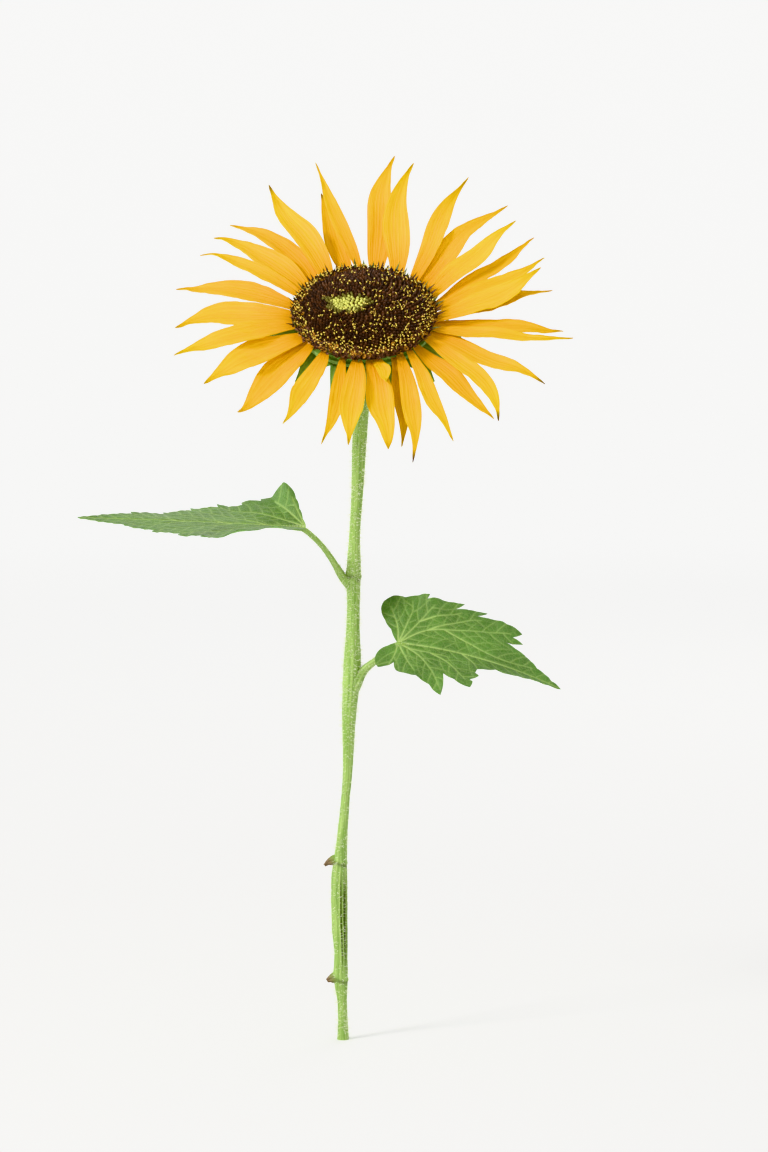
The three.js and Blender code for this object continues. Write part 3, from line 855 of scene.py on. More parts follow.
def build_stub(name, course, seed, look, node):
    """The torn foot of a lost leaf stalk, ragged at its end and cracked, with fibres in its colour."""
    stub, line = limb(name, course, ribbed_section(7, 0.07, 42), 10)
    places = places_of(stub)
    gap = np.linalg.norm(places - np.array(course[-1][:3]) * MM, axis=1)
    torn = np.clip(1 - gap / (0.9 * course[-2][3] * MM), 0, 1)
    places += np.random.default_rng(seed).normal(0, 0.35 * MM, places.shape) * torn[:, None]
    put_places(stub, places)
    keep_grain(stub, line)
    roughen(stub, name + " cracks", 1.6, 0.7)
    dry = bpy.data.materials.get("dry_stub") or stub_material(look.stub_colour, look.stem_colour)
    finish(stub, [dry], 40, "stub", node)


# Leaves
RIB_STEPS = 48


def rib(t, length, lift=0, curl=0, aim=0, sway=0, hook=0, tip=0):
    """Places and directions along the middle rib of a blade that sets off along +X with its face up."""

    def heading(t):
        pitch = np.radians(lift + curl * t + tip * np.clip((t - 0.8) / 0.2, 0, 1) ** 2)
        yaw = np.radians(aim + sway * t + hook * np.clip((t - 0.6) / 0.4, 0, 1))
        return stacked(np.cos(pitch) * np.cos(yaw), np.cos(pitch) * np.sin(yaw), np.sin(pitch))

    ends = np.arange(RIB_STEPS + 1) / RIB_STEPS
    steps = heading((np.arange(RIB_STEPS) + 0.5) / RIB_STEPS) * length / RIB_STEPS
    line = np.vstack([np.zeros(3), np.cumsum(steps, axis=0)])
    forward = heading(t)
    side = unit(stacked(-forward[:, 1], forward[:, 0], 0))
    return stacked(*(np.interp(t, ends, axis) for axis in line.T)), forward, side, np.cross(forward, side)


def leaf_edge(leaf):
    """The edge of a flat blade in fine steps, up its left margin and back down its right one."""
    corners = np.array([(0, 0), *leaf["left"], *leaf["right"][-2::-1]], float)
    edge = []
    for start, ahead in zip(corners, np.roll(corners, -1, axis=0) - corners):
        outward = np.array([-ahead[1], ahead[0]])
        steps = max(1, round(np.linalg.norm(ahead)))
        s = (np.arange(steps) / steps)[:, None]
        edge.append(start + ahead * s + 0.06 * outward * np.sin(np.pi * s))
    return np.vstack(edge)


def spaced(groups):
    """The points of several groups, each kept only if it is far enough from all that were kept before."""
    cell = 0.4
    kept, cells = [], {}
    for points, gap in groups:
        reach = math.ceil(gap / cell)
        for x, y in points:
            column, row = math.floor(x / cell), math.floor(y / cell)
            near = (
                other
                for i in range(column - reach, column + reach + 1)
                for j in range(row - reach, row + reach + 1)
                for other in cells.get((i, j), ())
            )
            if all(math.hypot(x - a, y - b) >= gap for a, b in near):
                kept.append((x, y))
                cells.setdefault((column, row), []).append((x, y))
    return kept


def stepped(line, step):
    """A flat line in even steps."""
    along = distances(line)
    return stacked(*(np.interp(np.arange(0, along[-1], step), along, axis) for axis in line.T))


def vein_rows(line):
    """Rows of points on both sides of a vein, close together."""
    middle = stepped(line, 0.6)
    ahead = unit(np.gradient(middle, axis=0))
    aside = stacked(-ahead[:, 1], ahead[:, 0])
    return [middle + aside * offset for offset in (0, 0.45, -0.45, 0.95, -0.95)]


def leaf_plan(leaf, veins):
    """The flat blade filled with a net of triangles that follows its veins: its points and faces."""
    spacing = 0.8
    rise = spacing * math.sqrt(3) / 2
    edge = leaf_edge(leaf)
    low, high = edge.min(axis=0), edge.max(axis=0)
    net = []
    for row in range(int((high[1] - low[1]) / rise) + 1):
        shift = spacing / 2 if row % 2 else 0.0
        net.extend((along, low[1] + row * rise) for along in np.arange(low[0] + shift, high[0], spacing))
    rows = [vein_rows(line) for line, _ in veins]
    middles = np.vstack([row[0] for row in rows])
    flanks = np.vstack([flank for row in rows for flank in row[1:]])
    points = spaced([(edge, 0.02), (middles, 0.35), (flanks, 0.35), (net, 0.8 * spacing)])
    loop = list(range(len(edge)))
    flat, _, faces = delaunay_2d_cdt([Vector(p) for p in points], [], [loop], 1, 1e-5)[:3]
    used, corners = np.unique(faces, return_inverse=True)
    plan, corners = np.array(flat)[used], corners.reshape(-1, 3)
    a, b, c = plan[corners.T]
    over = (b - a)[:, 0] * (c - a)[:, 1] <= (b - a)[:, 1] * (c - a)[:, 0]
    corners[over] = corners[over][:, [0, 2, 1]]
    return plan, corners.tolist()


def leaf_veins(leaf):
    """Every vein of a blade, as a fine line and its strength: the main ones, then their branches."""
    step, first, apart, spread = 0.3, 7, 4.5, 52
    mains = [stepped(through(vein, 14), step) for vein in leaf["veins"]]
    veins = [(line, 1.0 if k == 0 else 0.75) for k, line in enumerate(mains)]
    for k, line in enumerate(mains):
        others = np.vstack([other for j, other in enumerate(mains) if j != k])
        starts = range(round(first / step), len(line) - 5, round(apart / step))
        for number, start in enumerate(starts):
            place = line[start]
            turn = math.radians(spread if number % 2 else -spread)
            bearing = math.atan2(*(line[start + 1] - place)[::-1]) + turn
            branch = [place]
            while len(branch) < 20:
                place = place + np.array([math.cos(bearing), math.sin(bearing)])
                bearing -= turn * 0.035
                if len(branch) > 3 and np.min(np.linalg.norm(others - place, axis=1)) < 1.6:
                    break
                branch.append(place)
            if len(branch) > 4:
                veins.append((stepped(np.array(branch), step), 0.34))
    return veins


def vein_distances(plan, veins):
    """How far each point of a flat blade lies from the nearest vein, and how thick that vein is there."""
    lines = np.vstack([line for line, _ in veins])
    girths = [strength * np.linspace(1, 0.4, len(line), endpoint=False) for line, strength in veins]
    gap, near = nearest(stacked(*lines.T, 0), stacked(*plan.T, 0))
    return gap, np.concatenate(girths)[near]


def hung_leaf(plan, leaf, relief):
    """Bends a flat blade: along its rib, each half hung at its own angle, its margin rippled."""
    along, out = plan.T
    far = np.abs(out)
    place = np.clip(along - 0.5 * far, 0, leaf["length"])
    t = place / leaf["length"]
    point, forward, side, up = rib(t, leaf["length"], curl=leaf["curl"], aim=leaf["aim"], sway=leaf["sway"])
    left, right = (np.interp(t, *zip(*leaf[half])) for half in ("left_hang", "right_hang"))
    angle = np.radians(np.where(out > 0, left, right))
    crease = 1 - np.exp(-far / 4)
    wave = np.sin(along / 9) * (far / 35) ** 1.5 + 0.5 * np.sin(along / 3.7 + out / 11) * (far / 35) ** 2
    rise = far * np.sin(angle) * crease + leaf["ripple"] * wave + relief
    aside = out * np.cos(angle)
    return point + forward * (along - place)[:, None] + side * aside[:, None] + up * rise[:, None]


def build_leaf(name, leaf, thickness, faces, node):
    """A leaf blade with its teeth, sunken veins and puckered face; faces are its two materials."""
    veins = leaf_veins(leaf)
    plan, net = leaf_plan(leaf, veins)
    gap, girth = vein_distances(plan, veins)
    vein = np.exp(-((gap / (0.35 + 0.5 * girth)) ** 2)) * np.clip(girth * 1.5, 0, 1)
    pucker = 0.7 * (1 - np.exp(-((gap / 3) ** 2)))
    blade = mesh_object(name, hung_leaf(plan, leaf, pucker - 0.5 * vein) * MM, net)
    layer = blade.data.uv_layers.new(name="UVMap")
    corner = np.empty(len(blade.data.loops), np.int32)
    blade.data.loops.foreach_get("vertex_index", corner)
    layer.data.foreach_set("uv", (plan[corner] / 200 + 0.5).astype(np.float32).ravel())
    paint(blade, "vein", vein)
    turn = Matrix.Translation(Vector(leaf["at"]) * MM)
    for angle, axis in (("heading", "Z"), ("dip", "Y"), ("roll", "X")):
        turn = turn @ Matrix.Rotation(math.radians(leaf[angle]), 4, axis)
    blade.data.transform(turn)
    dress(blade, faces)
    apply_modifier(blade, "SOLIDIFY", thickness=thickness, offset=0, material_offset=1,
                   material_offset_rim=0)
    finish(blade, [], 60, "leaf", node)


# Ray petals
PETAL_ROWS = 34
PETAL_COLUMNS = 12


def petal_width(t, fineness):
    """Width of a petal along it, as a part of its full width, with a blunt tip."""
    pointed = max(math.sin(math.pi * (0.2 + 0.8 * t) ** 1.2), 0.0) ** fineness
    blunt = 0.15 * math.sqrt((1 - t) / 0.06) if t > 0.94 else 0.0
    return max(pointed, blunt, 0.03)


def petal_fold(v):
    """Height of a petal across it, from edge to edge, as a part of its full width."""
    bowl = 0.65 * RAY_CUP * math.sqrt(v * v + 0.03)
    grooves = 0.07 * math.exp(-(((abs(v) - 0.38) / 0.12) ** 2))
    keel = 0.055 * math.exp(-((v / 0.11) ** 2))
    return bowl - grooves - keel


def petal_blade(fineness):
    """A flat master petal of length and width one, folded along its ribs, with smooth edges."""
    bpy.ops.mesh.primitive_grid_add(x_subdivisions=PETAL_ROWS, y_subdivisions=PETAL_COLUMNS, size=1,
                                    location=(0.5, 0, 0))
    blade = bpy.context.object
    settle(blade)
    near = 1e-4
    for column in range(PETAL_COLUMNS + 1):
        y = column / PETAL_COLUMNS - 0.5
        shape(blade, lambda co: abs(co.y - y) < near, bpy.ops.transform.translate,
              value=(0, 0, petal_fold(2 * y)))
    for row in range(PETAL_ROWS + 1):
        t = row / PETAL_ROWS
        width = petal_width(t, fineness)
        shape(blade, lambda co: abs(co.x - t) < near, bpy.ops.transform.resize,
              value=(1, width, width * min(1, 3 * t)), center_override=(t, 0, 0))
    t, y, _ = places_of(blade).T
    half = np.array([0.5 * petal_width(min(1.0, place), fineness) for place in t])
    weigh(blade, "margin", 0.7 * (y / half) ** 2 * np.minimum(1, 4 * t) + 0.3 * t)
    apply_modifier(blade, "SUBSURF", levels=1, render_levels=1)
    return blade


def wave_margins(petal, length, draw):
    """Gives each margin of a petal, still flat, a slow wave of its own and the blade a slight S-bend."""
    x, y, z = places_of(petal).T
    t = np.clip(x / (length * MM), 0, 1)
    left, right, middle = draw.uniform(0, 2 * np.pi, 3)
    swing = np.where(y > 0, np.sin(8 * t + left), np.sin(8 * t + right))
    free = np.sin(np.pi * t)
    y = y * (1 + 0.1 * swing * free) + 0.9 * MM * np.sin(7 * t + middle) * free
    z = z + 1.7 * MM * np.sin(9 * t + middle) * free * t
    put_places(petal, stacked(x, y, z))


def build_petal(number, row, blade, thickness):
    """A petal: a copy of the master blade, laid along its own rib and rippled, with its thickness."""
    clock, aim, length, width, lift, curl, sway, hook, tier = row[:9]
    twist = row[9] if len(row) > 9 else 0
    petal = blade.copy()
    petal.data = blade.data.copy()
    petal.name = f"petal_{number:02d}"
    bpy.context.scene.collection.objects.link(petal)
    petal.data.transform(Matrix.Diagonal((length * MM, width * MM, width * MM, 1)))
    draw = np.random.default_rng(number)
    wave_margins(petal, length, draw)
    t = np.linspace(0, 1, 65)
    line = rib(t, length, lift, curl, aim, sway, hook, TIP_CURLS.get(number, 0))[0]
    seat = Matrix.Rotation(math.radians(clock), 4, "Z")
    seat = seat @ Matrix.Translation((RAY_SEAT, 0, -TIER_DEPTHS[tier]))
    places = [(seat @ Vector(point)) * MM for point in line]
    spine = poly_curve("spine", places, tilts=np.radians(twist) * np.clip(2 * t - 1, 0, 1))
    apply_modifier(petal, "CURVE", object=spine, deform_axis="POS_X")
    discard(spine)
    roughen(petal, "petal ripple", 13, 3.2, "margin")
    apply_modifier(petal, "SOLIDIFY", thickness=thickness, offset=0, material_offset=1,
                   material_offset_rim=1)
    petal.data.transform(HEAD)
    every = np.ones(len(petal.data.vertices))
    # Painted shade by tier, plus a random tone of each petal's own
    paint(petal, "shade_and_tone", every * (TIER_SHADES[tier] + draw.uniform(0, 0.12)))
    paint(petal, "wither", every * WITHERED_TIPS.get(number, USUAL_WITHER))
    finish(petal, [], 70, "ray", f"ray_{number:02d}")


def build_petals(thickness, look):
    """All the ray petals, each in place of its own node."""
    base, gold, pale = look.petal_base, look.petal_colour, look.petal_tip
    # The face's streaks are its foot's orange made darker, partly its own colour and partly painted shade in
    # the grooves; the back's are greenish veins
    face = petal_material("petal_face", base, gold, pale, opaque(base, 0.85))
    back = petal_material("petal_back", opaque(base, 0.8), opaque(gold, 0.82), opaque(pale, 0.85),
                          (0.5, 0.42, 0.03))
    blades = {}
    for number, row in enumerate(RAYS, 1):
        fineness = row[10] if len(row) > 10 else USUAL_FINENESS
        if fineness not in blades:
            blades[fineness] = petal_blade(fineness)
            dress(blades[fineness], [face, back])
        build_petal(number, row, blades[fineness], thickness)
    for blade in blades.values():
        discard(blade)


# Receptacle and bracts
def turned(name, profile, steps):
    """A piece turned about +Z from a profile of radius and height in millimetres."""
    mesh = bpy.data.meshes.new(name)
    places = [(radius * MM, 0, height * MM) for radius, height in profile]
    mesh.from_pydata(places, [(k, k + 1) for k in range(len(places) - 1)], [])
    obj = linked(name, mesh)
    shape(obj, everything, bpy.ops.mesh.spin, steps=steps, angle=2 * math.pi, center=(0, 0, 0),
          axis=(0, 0, 1))
    clean(obj)
    return obj


def bowl_depth(radius):
    """Depth of the bowl's underside at a radius."""
    radii, depths = zip(*BOWL[:0:-1])
    return np.interp(radius, radii, depths)


def build_receptacle(skin):
    """The green bowl behind the disc, ribbed where it narrows to the stem."""
    under = [(radius, -depth) for radius, depth in through(BOWL[1:], 8)]
    wall = RAY_SEAT - 0.5
    shoulder = [(0, -1), (wall, -1), (wall, -SHOULDER), (RIM_RADIUS - 0.6, -SHOULDER)]
    bowl = turned("receptacle_bowl", [*shoulder, *under, (0, -NECK_DEPTH)], 96)
    x, y, z = places_of(bowl).T
    ribs = np.cos(16 * np.arctan2(y, x)) * np.clip(-z / MM / NECK_DEPTH, 0, 1)
    press(bowl, 0.25 * MM * ribs)
    paint(bowl, "rib", np.clip(ribs, 0, 1))
    bowl.data.transform(HEAD)
    finish(bowl, [skin], 50, "bract", "receptacle")


def bract_width(t):
    """Width of a bract along it, as a part of its full width: broad low down, with a long fine point."""
    return np.maximum(np.sin(np.pi * (0.3 + 0.7 * t) ** 1.25), 0) ** 1.15 * (1 - 0.2 * t) + 0.012


def bract_place(t, v, row):
    """Places on a bract, along it and across it, in the plane of the head in millimetres."""
    radius = row["start"] + (row["reach"] + row["point"] - row["start"]) * t
    past = np.maximum(0, radius - BRACT_BEND)
    lifted = np.clip(t / 0.3, 0.15, 1)
    depth = bowl_depth(np.minimum(radius, BRACT_BEND)) + row["below"] * lifted + row["turn"] * past**2
    depth = depth - 0.1 * past * v**2 * row["curl"] + row["overlap"] * v * (1 - t)
    depth = depth + row["droop"] * np.clip((t - 0.75) / 0.25, 0, 1) ** 2
    depth = depth + 0.7 * np.sin(9 * t + 6 * row["curl"]) * v**2 * t
    angle = row["clock"] + row["width"] / 2 * bract_width(t) * v / radius
    return stacked(radius * np.cos(angle), radius * np.sin(angle), -depth)


def build_bract(number, row, skin):
    """A pointed bract wrapped on the bowl, turning back at its tip."""
    bpy.ops.mesh.primitive_grid_add(x_subdivisions=40, y_subdivisions=12, size=1)
    bract = bpy.context.object
    bract.name = f"bract_leaf_{number:02d}"
    t, v, _ = places_of(bract).T
    t, v = t + 0.5, 2 * v
    ribs = np.exp(-((v / 0.09) ** 2)) + 0.5 * np.exp(-(((np.abs(v) - 0.5) / 0.08) ** 2))
    put_places(bract, (bract_place(t, v, row) - stacked(0, 0, 0.4 * ribs * (1 - t))) * MM)
    paint(bract, "rib", np.clip(ribs, 0, 1))
    apply_modifier(bract, "SOLIDIFY", thickness=0.6 * MM, offset=0)
    bract.data.transform(HEAD)
    finish(bract, [skin], 70, "bract", f"bract_{number:02d}")


def build_fringe(rows):
    """Fine pale hairs along the margins of all the bracts, as one mesh."""
    draw = np.random.default_rng(17)
    places, directions = [], []
    for row in rows:
        for side in (-1.0, 1.0):
            t = draw.uniform(0.05, 0.97, 60)
            edge = bract_place(t, side, row)
            across = unit(edge - bract_place(t, 0.9 * side, row))
            ahead = unit(edge - bract_place(t - 0.02, side, row))
            places.append(edge)
            directions.append(across + 0.7 * ahead + draw.normal(0, 0.25, edge.shape))
    places, directions = np.vstack(places) * MM, np.vstack(directions)
    count = len(places)
    thick = draw.uniform(0.06, 0.09, count)
    sizes = stacked(thick, thick, draw.uniform(1.2, 2.4, count)) * MM
    matrices = aimed(places, directions, sizes, draw.uniform(0, 6, count))
    fringe = joined("bract_fringe", bristle_shape(), matrices)
    fringe.data.transform(HEAD)
    finish(fringe, [plain_material("fringe_white", (0.7, 0.75, 0.5), 0.5)], 0, "bract")


def build_involucre(look):
    """The bowl behind the disc and its two rows of bracts, each lapping over the next."""
    skin = bract_material(look.bract_colour)
    build_receptacle(skin)
    inner = {"start": 13, "reach": 53, "width": 25, "below": GAP + 0.8, "turn": 0.014, "point": 9}
    outer = {"start": 8.6, "reach": 51, "width": 21, "below": GAP + 2.4, "turn": 0.028, "point": 8}
    draw = np.random.default_rng(16)
    rows = []
    for k in range(2 * BRACTS_A_ROW):
        own = {"curl": draw.uniform(0.2, 1), "droop": draw.uniform(-2, 3), "overlap": 0.75}
        own["clock"] = math.radians(180 * k / BRACTS_A_ROW + draw.uniform(-1.5, 1.5))
        rows.append({**(inner if k % 2 == 0 else outer), **own})
        build_bract(k + 1, rows[k], skin)
    build_fringe(rows)


# Disc
def dome_height(radius):
    """Height of the disc's domed face at a radius."""
    flatness = np.clip(1 - (radius / DISC_RADIUS) ** 2, 0, 1)
    return RIM_HEIGHT + (DISC_HEIGHT - RIM_HEIGHT) * flatness**0.7


def dome_normals(x, y):
    """Directions square to the disc's domed face."""
    radius = np.hypot(x, y)
    slope = (dome_height(radius + 0.1) - dome_height(np.maximum(radius - 0.1, 0))) / 0.2
    lean = np.clip(slope, -1.2, 1.2) / np.maximum(radius, 1e-6)
    return stacked(-x * lean, -y * lean, 1)


def on_dome(x, y, sink):
    """Places on the disc's face, a little under it, in metres."""
    return stacked(x, y, dome_height(np.hypot(x, y)) - sink) * MM


def spiral(count):
    """Places of the florets: a golden spiral that winds out of the heart of the disc to its rim."""
    k = np.arange(count) + 0.5
    radius = (DISC_RADIUS - 2.2) * np.sqrt(k / count)
    pull = (1 - radius / DISC_RADIUS) ** 1.2
    turns = k * GOLDEN_ANGLE
    return radius * np.cos(turns) + HEART[0] * pull, radius * np.sin(turns) + HEART[1] * pull


def closed_floret():
    """A closed floret: five-sided, widest under its blunt point."""
    bud = cone(5, 0.62, 0.92, 0, 2.4)
    draw_out(bud, (0, 0, 0.7), (0.72, 0.72, 1))
    draw_out(bud, (0, 0, 0.45), (0.3, 0.3, 1))
    return shape_of(bud)


def open_floret():
    """An open floret: a five-lobed cup, hollow inside."""
    cup = cone(10, 0.5, 0.8, 0, 3)
    draw_out(cup, (0, 0, 0.5))
    shape(cup, lambda co: co.z > 3.4 and round(math.atan2(co.y, co.x) / (math.pi / 5)) % 2 == 0,
          bpy.ops.transform.resize, value=(1.75, 1.75, 1), center_override=(0, 0, 3.5))
    shape(cup, lambda co: co.z > 3.4, bpy.ops.mesh.inset, thickness=0.18, depth=-0.5)
    return shape_of(cup)


def anther():
    """The dark tube in an open floret with its forked tip."""
    tube = cone(5, 0.3, 0.34, 2.9, 5.1)
    draw_out(tube, (0, 0, 0.5), (1.5, 0.4, 1))
    return shape_of(tube)


def grain_of_pollen():
    """A tiny grain of twenty faces."""
    bpy.ops.mesh.primitive_ico_sphere_add(subdivisions=1, radius=1)
    return shape_of(bpy.context.object)


def scale_shape():
    """A pointed scale with a keel, one unit long and two wide at its foot."""
    scale = cone(4, 1, 0.75, -0.025, 0.525)
    draw_out(scale, (0, 0, 0.48), (0.06, 0.06, 1))
    return shape_of(scale)


def tints(*rows):
    """Plain materials, from their names, colours, roughness and shares."""
    return [plain_material(*row) for row in rows]


def strew(name, small, matrices, materials, kinds=None):
    """Many copies of a small shape on the disc, as one piece, each in its own one of some materials."""
    obj = joined(name, small, matrices, kinds)
    obj.data.transform(HEAD)
    finish(obj, materials, 35, "disc")


def build_disc(florets, look):
    """The disc: a dark dome, its closed and open florets, their chaff, pollen and the scales round it."""
    rim = [(RIM_RADIUS - 1, 0.4), (DISC_RADIUS - 1.2, 1.2)]
    radii = [DISC_RADIUS * share for share in (0.95, 0.88, 0.78, 0.65, 0.5, 0.35, 0.18, 0)]
    crown = [(radius, dome_height(radius) - 1.9) for radius in radii]
    bed = turned("disc_bed", [(0, 0.4), *rim, *crown], 72)
    bed.data.transform(HEAD)
    finish(bed, [plain_material("disc_bed", look.disc_colour, 0.85)], 80, "disc", "disc")
    build_florets(florets, look)
    build_rim_scales(look.disc_colour)


def build_florets(count, look):
    """The florets in their spiral: pale and closed in the heart, dark round it and open at the rim."""
    draw = np.random.default_rng(33)
    x, y = spiral(count)
    radius = np.hypot(x, y)
    clock = np.arctan2(y - HEART[1], x - HEART[0])
    jag = 0.16 * np.sin(5 * clock + 0.6) + 0.1 * np.sin(9 * clock + 2) + draw.normal(0, 0.07, count)
    from_heart = np.hypot((x - HEART[0]) / HEART_AXES[0], (y - HEART[1]) / HEART_AXES[1]) - jag
    opened = radius > DISC_RADIUS - 7.5 + draw.normal(0, 1.2, count)
    dark, pale = look.disc_colour, look.heart_colour
    buds = tints(("floret_dark", dark, 0.62), ("floret_brown", dark, 0.6, 1.9),
                 ("floret_black", dark, 0.66, 0.5), ("floret_olive", (0.17, 0.15, 0.035), 0.6),
                 ("floret_pale", pale, 0.5), ("floret_cream", pale, 0.5, 1.35))
    kinds = draw.choice([0, 0, 1, 2], count)
    kinds[from_heart < 1.35] = 3
    kinds[from_heart < 1] = draw.choice([4, 4, 5], int(np.sum(from_heart < 1)))
    swing = 0.35 * (radius / DISC_RADIUS) ** 2 / DISC_RADIUS
    directions = dome_normals(x, y) + stacked(x * swing, y * swing, 0)
    directions += draw.normal(0, 0.06, directions.shape)
    width = 0.52 * DISC_RADIUS * math.sqrt(math.pi / count) * draw.uniform(0.88, 1.1, count)
    heights = np.where(from_heart < 1, 0.8, 1.0) * draw.uniform(0.85, 1.1, count)
    heights[opened] *= 0.82
    spins = draw.uniform(0, 2 * np.pi, count)
    matrices = aimed(on_dome(x, y, 3.3), directions, stacked(width, width, heights) * MM, spins)
    strew("closed_florets", closed_floret(), matrices[~opened], buds, kinds[~opened])
    cups = tints(("cup_brown", dark, 0.55, 2.6), ("cup_orange", (0.42, 0.19, 0.02), 0.5))
    strew("open_florets", open_floret(), matrices[opened], cups, draw.choice([0, 0, 1], count)[opened])
    strew("anthers", anther(), matrices[opened], buds[2:3])
    build_pollen(x, y, radius, from_heart, directions, look.pollen_colour, draw)
    build_chaff(x, y, from_heart, directions, dark, draw)


def build_pollen(x, y, radius, from_heart, directions, colour, draw):
    """Pale grains of pollen on the tips of many florets, thicker towards the lower right and the rim."""
    chance = 0.22 + 0.2 * np.clip((x - y) / DISC_RADIUS, -0.6, 1) + 0.5 * (radius > DISC_RADIUS - 8)
    chance[from_heart < 1.15] = 0.0
    some = np.repeat(draw.random(len(x)) < chance, 3)
    count = int(np.sum(some))
    aims = np.repeat(directions, 3, axis=0)[some]
    places = on_dome(np.repeat(x, 3)[some], np.repeat(y, 3)[some], 0)
    places += aims * MM * draw.uniform(1.1, 1.6, count)[:, None]
    places += draw.normal(0, 0.4, places.shape) * MM
    size = draw.uniform(0.2, 0.42, count) * MM
    matrices = aimed(places, aims, stacked(size, size, size), draw.uniform(0, 6, count))
    pollen = tints(("pollen_yellow", colour, 0.6), ("pollen_cream", colour, 0.6, 1.5))
    strew("pollen", grain_of_pollen(), matrices, pollen, draw.choice([0, 1], count))


def build_chaff(x, y, from_heart, directions, colour, draw):
    """Thin dark scales that stand between the florets."""
    some = (from_heart > 1.1) & (draw.random(len(x)) < 0.75)
    count = int(np.sum(some))
    places = on_dome(x[some] + draw.normal(0, 0.5, count) + 0.9, y[some] + draw.normal(0, 0.5, count), 2)
    sizes = stacked(0.55, 0.2, draw.uniform(2.2, 3.6, count)) * MM
    aims = directions[some] + draw.normal(0, 0.12, (count, 3))
    matrices = aimed(places, aims, sizes, draw.uniform(0, 6, count))
    chaff = tints(("chaff_dark", colour, 0.7, 0.7), ("chaff_tan", colour, 0.7, 3.2))
    strew("chaff", scale_shape(), matrices, chaff, draw.choice([0, 0, 0, 1], count))


def build_rim_scales(colour):
    """Pointed scales round the rim of the disc, leaning out over the feet of the petals."""
    draw = np.random.default_rng(64)
    count = RIM_SCALES
    clock = 2 * np.pi * (np.arange(count) + draw.uniform(-0.25, 0.25, count)) / count
    radius = DISC_RADIUS - 2.2 + draw.uniform(-0.8, 0.4, count)
    lean = np.radians(draw.uniform(25, 66, count))
    across, above = np.cos(clock), np.sin(clock)
    directions = stacked(across * np.sin(lean), above * np.sin(lean), np.cos(lean))
    directions += draw.normal(0, 0.08, directions.shape)
    sizes = stacked(draw.uniform(0.8, 1.3, count), 0.35, draw.uniform(4.4, 9.6, count)) * MM
    matrices = aimed(stacked(radius * across, radius * above, 1.2) * MM, directions, sizes, clock * 0)
    scales = tints(("scale_brown", colour, 0.65, 1.4), ("scale_green", (0.11, 0.13, 0.035), 0.65))
    strew("rim_scales", scale_shape(), matrices, scales, draw.choice([0, 0, 1], count))


# Stage
def build_backdrop():
    """A pale floor that sweeps up into a wall all round."""
    floor, bend, wall = 4400, 1500, 5200
    angles = np.linspace(0, math.pi / 2, 14)
    corner = [(floor + bend * math.sin(angle), bend - bend * math.cos(angle)) for angle in angles]
    sweep = turned("backdrop", [(0, 0), (1200, 0), *corner, (floor + bend, wall)], 96)
    smooth(sweep, 80)
    paper, tree = new_material("backdrop_paper")
    solid = coordinates(tree)
    away = add(tree, "VectorMath", {0: solid}, operation="LENGTH").outputs["Value"]
    far = ranged(tree, away, 0.6, 4.2)
    floor_tone = blended(tree, mottle(tree, solid, 1.5, 0.2, 0.8), (0.82, 0.82, 0.815, 1),
                         (0.84, 0.84, 0.84, 1))
    glow = blended(tree, far, (0.0, 0.0, 0.0, 1), (0.43, 0.43, 0.43, 1))
    close(paper, blended(tree, far, floor_tone, (0.9, 0.9, 0.895, 1)), 0.9, Emission_Color=glow,
          Emission_Strength=1.0)
    dress(sweep, [paper])
    sweep.visible_shadow = False


def build_light(name, place, target, size, power, colour):
    """A soft square light that looks at a target and doesn't show itself."""
    data = bpy.data.lights.new(name, "AREA")
    data.size = size
    data.energy = power
    data.color = colour
    lamp = linked(name, data)
    lamp.location = place
    lamp.rotation_euler = (Vector(target) - Vector(place)).to_track_quat("-Z", "Y").to_euler()
    lamp.visible_camera = False


def build_camera():
    """The camera at the photograph's angle."""
    data = bpy.data.cameras.new("camera")
    data.lens = LENS
    camera = linked("camera", data)
    rise = math.radians(CAMERA_ELEVATION)
    back = Vector((0, -math.cos(rise), math.sin(rise)))
    camera.location = (Vector(CAMERA_TARGET) + back * CAMERA_DISTANCE) * MM
    camera.rotation_euler = (-back).to_track_quat("-Z", "Y").to_euler()
    data.clip_end = 40
    bpy.context.scene.camera = camera


def build_world(strength):
    """Even pale light from all round."""
    world = bpy.data.worlds.new("studio")
    world.use_nodes = True
    background = world.node_tree.nodes["Background"]
    background.inputs["Color"].default_value = (1, 1, 1, 1)
    background.inputs["Strength"].default_value = strength
    bpy.context.scene.world = world
    bpy.context.scene.view_settings.view_transform = "Khronos PBR Neutral"


# Properties
def length_property(name, description, default):
    """A length that a user would change."""
    return bpy.props.FloatProperty(name=name, description=description, default=default, min=0.1 * MM,
                                   unit="LENGTH")


class SunflowerSizes(bpy.types.PropertyGroup):
    """Sizes that a user would change."""

    petal_thickness: length_property("Petal thickness", "Thickness of a ray petal", 0.4 * MM)
    leaf_thickness: length_property("Leaf thickness", "Thickness of a leaf blade", 0.6 * MM)
    florets: bpy.props.IntProperty(
        name="Florets", description="Number of florets in the disc", default=1300, min=200, max=3000)
    bristle_length: length_property("Bristle length", "Length of the longest hairs on the stem", 3.2 * MM)


def colour_property(name, description, default):
    """A colour that a user would change."""
    return bpy.props.FloatVectorProperty(name=name, description=description, default=default,
                                         subtype="COLOR", size=3, min=0, max=1)


